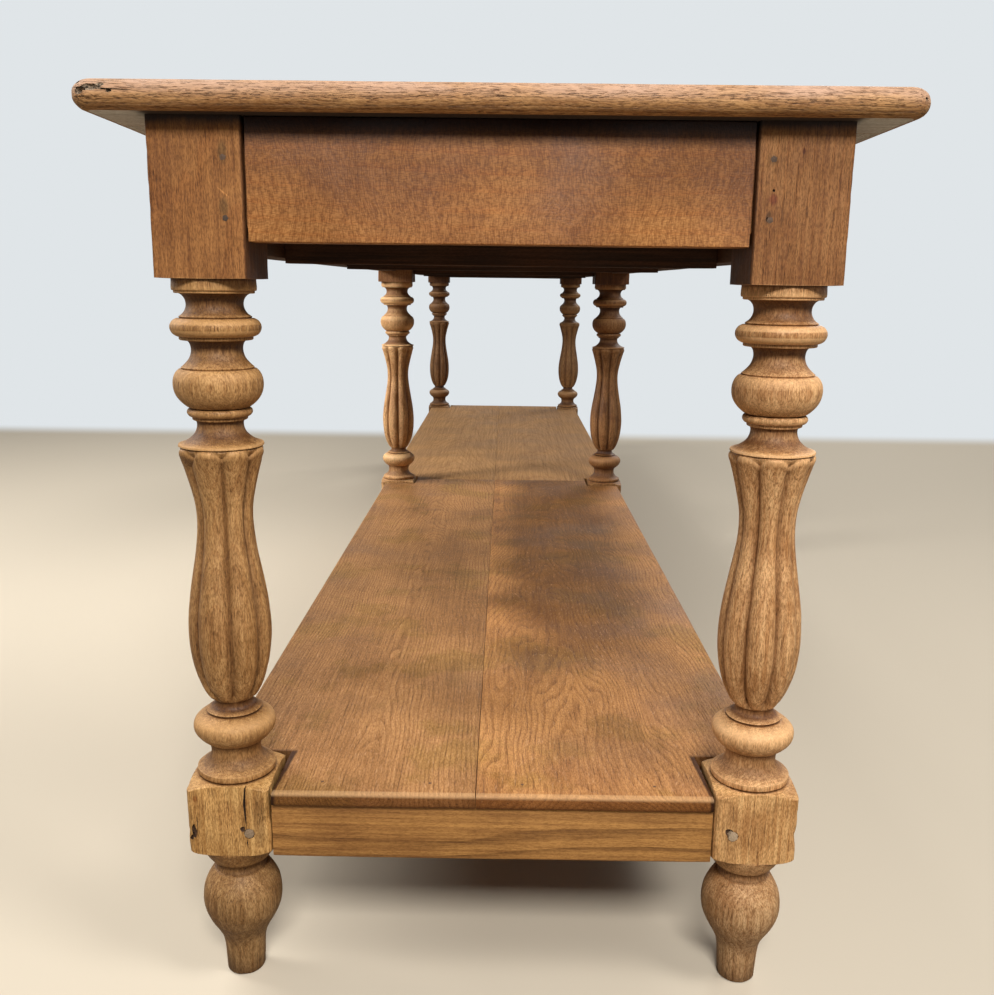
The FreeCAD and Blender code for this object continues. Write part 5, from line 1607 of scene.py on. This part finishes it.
cuts = [hole(spot, along, length, radius, 1, deep=1.6 * MM) for spot, along, length, radius in peg_spots
        if along == 2 and spot.y < 0]
cuts += [split_wedge(path, INTO, width * MM, depth * MM) for path, width, depth in RAGGED_SPLITS]
cuts += [gouge(place, [c * MM for c in size], seed + 20, rough=0.5)
         for seed, (place, size) in enumerate(WORM_HOLLOWS)]
carve(clamp, cuts, worm_wood)
smooth_by_angle(clamp, 42)
print("the near clamp after cutting:", len(clamp.data.polygons))

# %% [markdown]
# ## Floor and background
# The table stands on a plain pale floor. There is no wall: the camera sees the floor fade into a
# pale background behind the table, where the floor of the picture ends, and also beyond the
# lamps on the other sides, where the floor lies in the dark. A curved paper backdrop would do
# the same, but it would have to be moved for every view.

# %% Floor
BACKGROUND = paint(224, 229, 232)
FLOOR_END = 2.05                     # behind the table
FLOOR_HALF = 14
mesh = bpy.data.meshes.new("floor")
mesh.from_pydata([(-FLOOR_HALF, -FLOOR_HALF, 0), (FLOOR_HALF, -FLOOR_HALF, 0), (FLOOR_HALF, FLOOR_HALF, 0),
                  (-FLOOR_HALF, FLOOR_HALF, 0)], [], [(0, 1, 2, 3)])
sheet = plain_object("floor", mesh)
material, tree, shader = bare_material("floor_paint")
mesh.materials.append(material)
rays = add(tree, "ShaderNodeLightPath").outputs
shown = blend(tree, "MIX", rays["Is Camera Ray"], paint(136, 126, 110), paint(212, 201, 182))
tree.links.new(shown, shader.inputs["Base Color"])
shader.inputs["Roughness"].default_value = 0.85
where = add(tree, "ShaderNodeSeparateXYZ", {0: object_place(tree)}).outputs
behind = ramp(tree, where[1], FLOOR_END - 0.03, FLOOR_END + 0.30)
ends = calc(tree, "MAXIMUM", behind, ramp(tree, where[1], -2.3, -3.5))
beyond = calc(tree, "MAXIMUM", ends, ramp(tree, calc(tree, "ABSOLUTE", where[0]), 2.7, 4.2))
glow = add(tree, "ShaderNodeEmission", {"Color": BACKGROUND, "Strength": 1.0})
mix = add(tree, "ShaderNodeMixShader", {0: calc(tree, "MULTIPLY", rays["Is Camera Ray"], beyond),
                                        1: shader.outputs[0], 2: glow.outputs[0]})
tree.links.new(mix.outputs[0], tree.nodes["Material Output"].inputs["Surface"])
print("the floor fades out", FLOOR_END, "m behind the table's middle")

# %% [markdown]
# The background itself has two jobs. The camera, and anything shiny, sees it as pale as the end
# of the floor. The wood gets only a little of its light, so that the lamps make the shadows. One
# strength for both would either flatten the carving or leave the background grey.

# %% Background
SEEN_STRENGTH, GIVEN_STRENGTH = 1.0, 0.065
world = bpy.data.worlds.new("studio")
bpy.context.scene.world = world
world.use_nodes = True
tree = world.node_tree
rays = add(tree, "ShaderNodeLightPath").outputs
seen = calc(tree, "MAXIMUM", rays["Is Camera Ray"], rays["Is Glossy Ray"])
sky = tree.nodes["Background"]
tree.links.new(blend(tree, "MIX", seen, (0.86, 0.92, 1.0, 1.0), BACKGROUND), sky.inputs["Color"])
strength = calc(tree, "MULTIPLY_ADD", seen, SEEN_STRENGTH - GIVEN_STRENGTH, GIVEN_STRENGTH)
tree.links.new(strength, sky.inputs["Strength"])
print("light from all around:", GIVEN_STRENGTH, "of the background that is seen")

# %% [markdown]
# ## Lamps
# Large soft lamps light the table as windows would, so that its colours show as they are. The
# strongest hangs high before the near end. Point lamps would be simpler, but their hard shadows
# would hide the reeds. The middle row stands deep under the top, so it gets a narrow lamp of its
# own, whose spread is kept small enough to leave no bright spot on the floor.

# %% Lamps
def softbox(name, place, target, wide, high, power, spread=180, colour=(1.0, 0.97, 0.93)):
    """A rectangle of light that faces its target; power in watts, spread in degrees."""
    lamp = bpy.data.lights.new(name, "AREA")
    lamp.shape = "RECTANGLE"
    lamp.size, lamp.size_y = wide, high
    lamp.energy = power
    lamp.spread = math.radians(spread)
    lamp.color = colour
    piece = bpy.data.objects.new(name, lamp)
    bpy.context.scene.collection.objects.link(piece)
    piece.location = place
    piece.rotation_euler = (Vector(target) - Vector(place)).to_track_quat("-Z", "Y").to_euler()


softbox("high_front", (0.25, -4.2, 2.9), (0.0, -1.4, 0.45), 1.3, 0.8, 134)
softbox("high_left", (-2.2, 0.0, 3.2), (0.0, 0.0, 0.3), 0.9, 2.2, 70)
softbox("high_right", (1.8, -2.4, 3.0), (0.1, -0.9, 0.3), 0.9, 1.2, 50)
softbox("low_left", (-1.9, -0.9, 1.3), (-0.2, 0.1, 0.55), 0.5, 0.5, 13)
softbox("middle_left", (-1.9, -1.0, 1.5), (-0.16, -0.06, 0.35), 0.5, 0.5, 3.6, spread=58)
softbox("high_back", (2.4, 3.8, 3.2), (0.0, 0.8, 0.5), 1.6, 1.2, 66)
print("lamps:", [lamp.name for lamp in bpy.data.lights])

# %% [markdown]
# ## Camera
# The camera stands near one end, a little below the top, and looks down along the shelf. Its
# place, its aim and its lens were worked out from about eighty points on the six like legs,
# rather than found by eye, so that the render can be laid over the picture. Because it rolls a
# little, its three axes are built up one by one from the three angles.

# %% Camera
EYE = (0.0076, -2.3966, 0.6979)
YAW, PITCH, ROLL = (math.radians(a) for a in (-0.418, -12.307, 0.676))
SENSOR = 36.0
FOCAL_PIXELS, PICTURE_PIXELS = 979.8, 995
ahead = Vector((math.sin(YAW) * math.cos(PITCH), math.cos(YAW) * math.cos(PITCH), math.sin(PITCH)))
level = Vector((math.cos(YAW), -math.sin(YAW), 0))
over = level.cross(ahead)
right = level * math.cos(ROLL) + over * math.sin(ROLL)
up = -level * math.sin(ROLL) + over * math.cos(ROLL)
lens = bpy.data.cameras.new("camera")
lens.sensor_width = SENSOR
lens.lens = FOCAL_PIXELS / PICTURE_PIXELS * SENSOR
lens.clip_start, lens.clip_end = 0.05, 100
camera = bpy.data.objects.new("camera", lens)
bpy.context.scene.collection.objects.link(camera)
camera.matrix_world = Matrix.Translation(EYE) @ Matrix((right, up, -ahead)).transposed().to_4x4()
bpy.context.scene.camera = camera
bpy.context.scene.view_settings.view_transform = "Standard"
print("the lens:", round(lens.lens, 1), "mm")
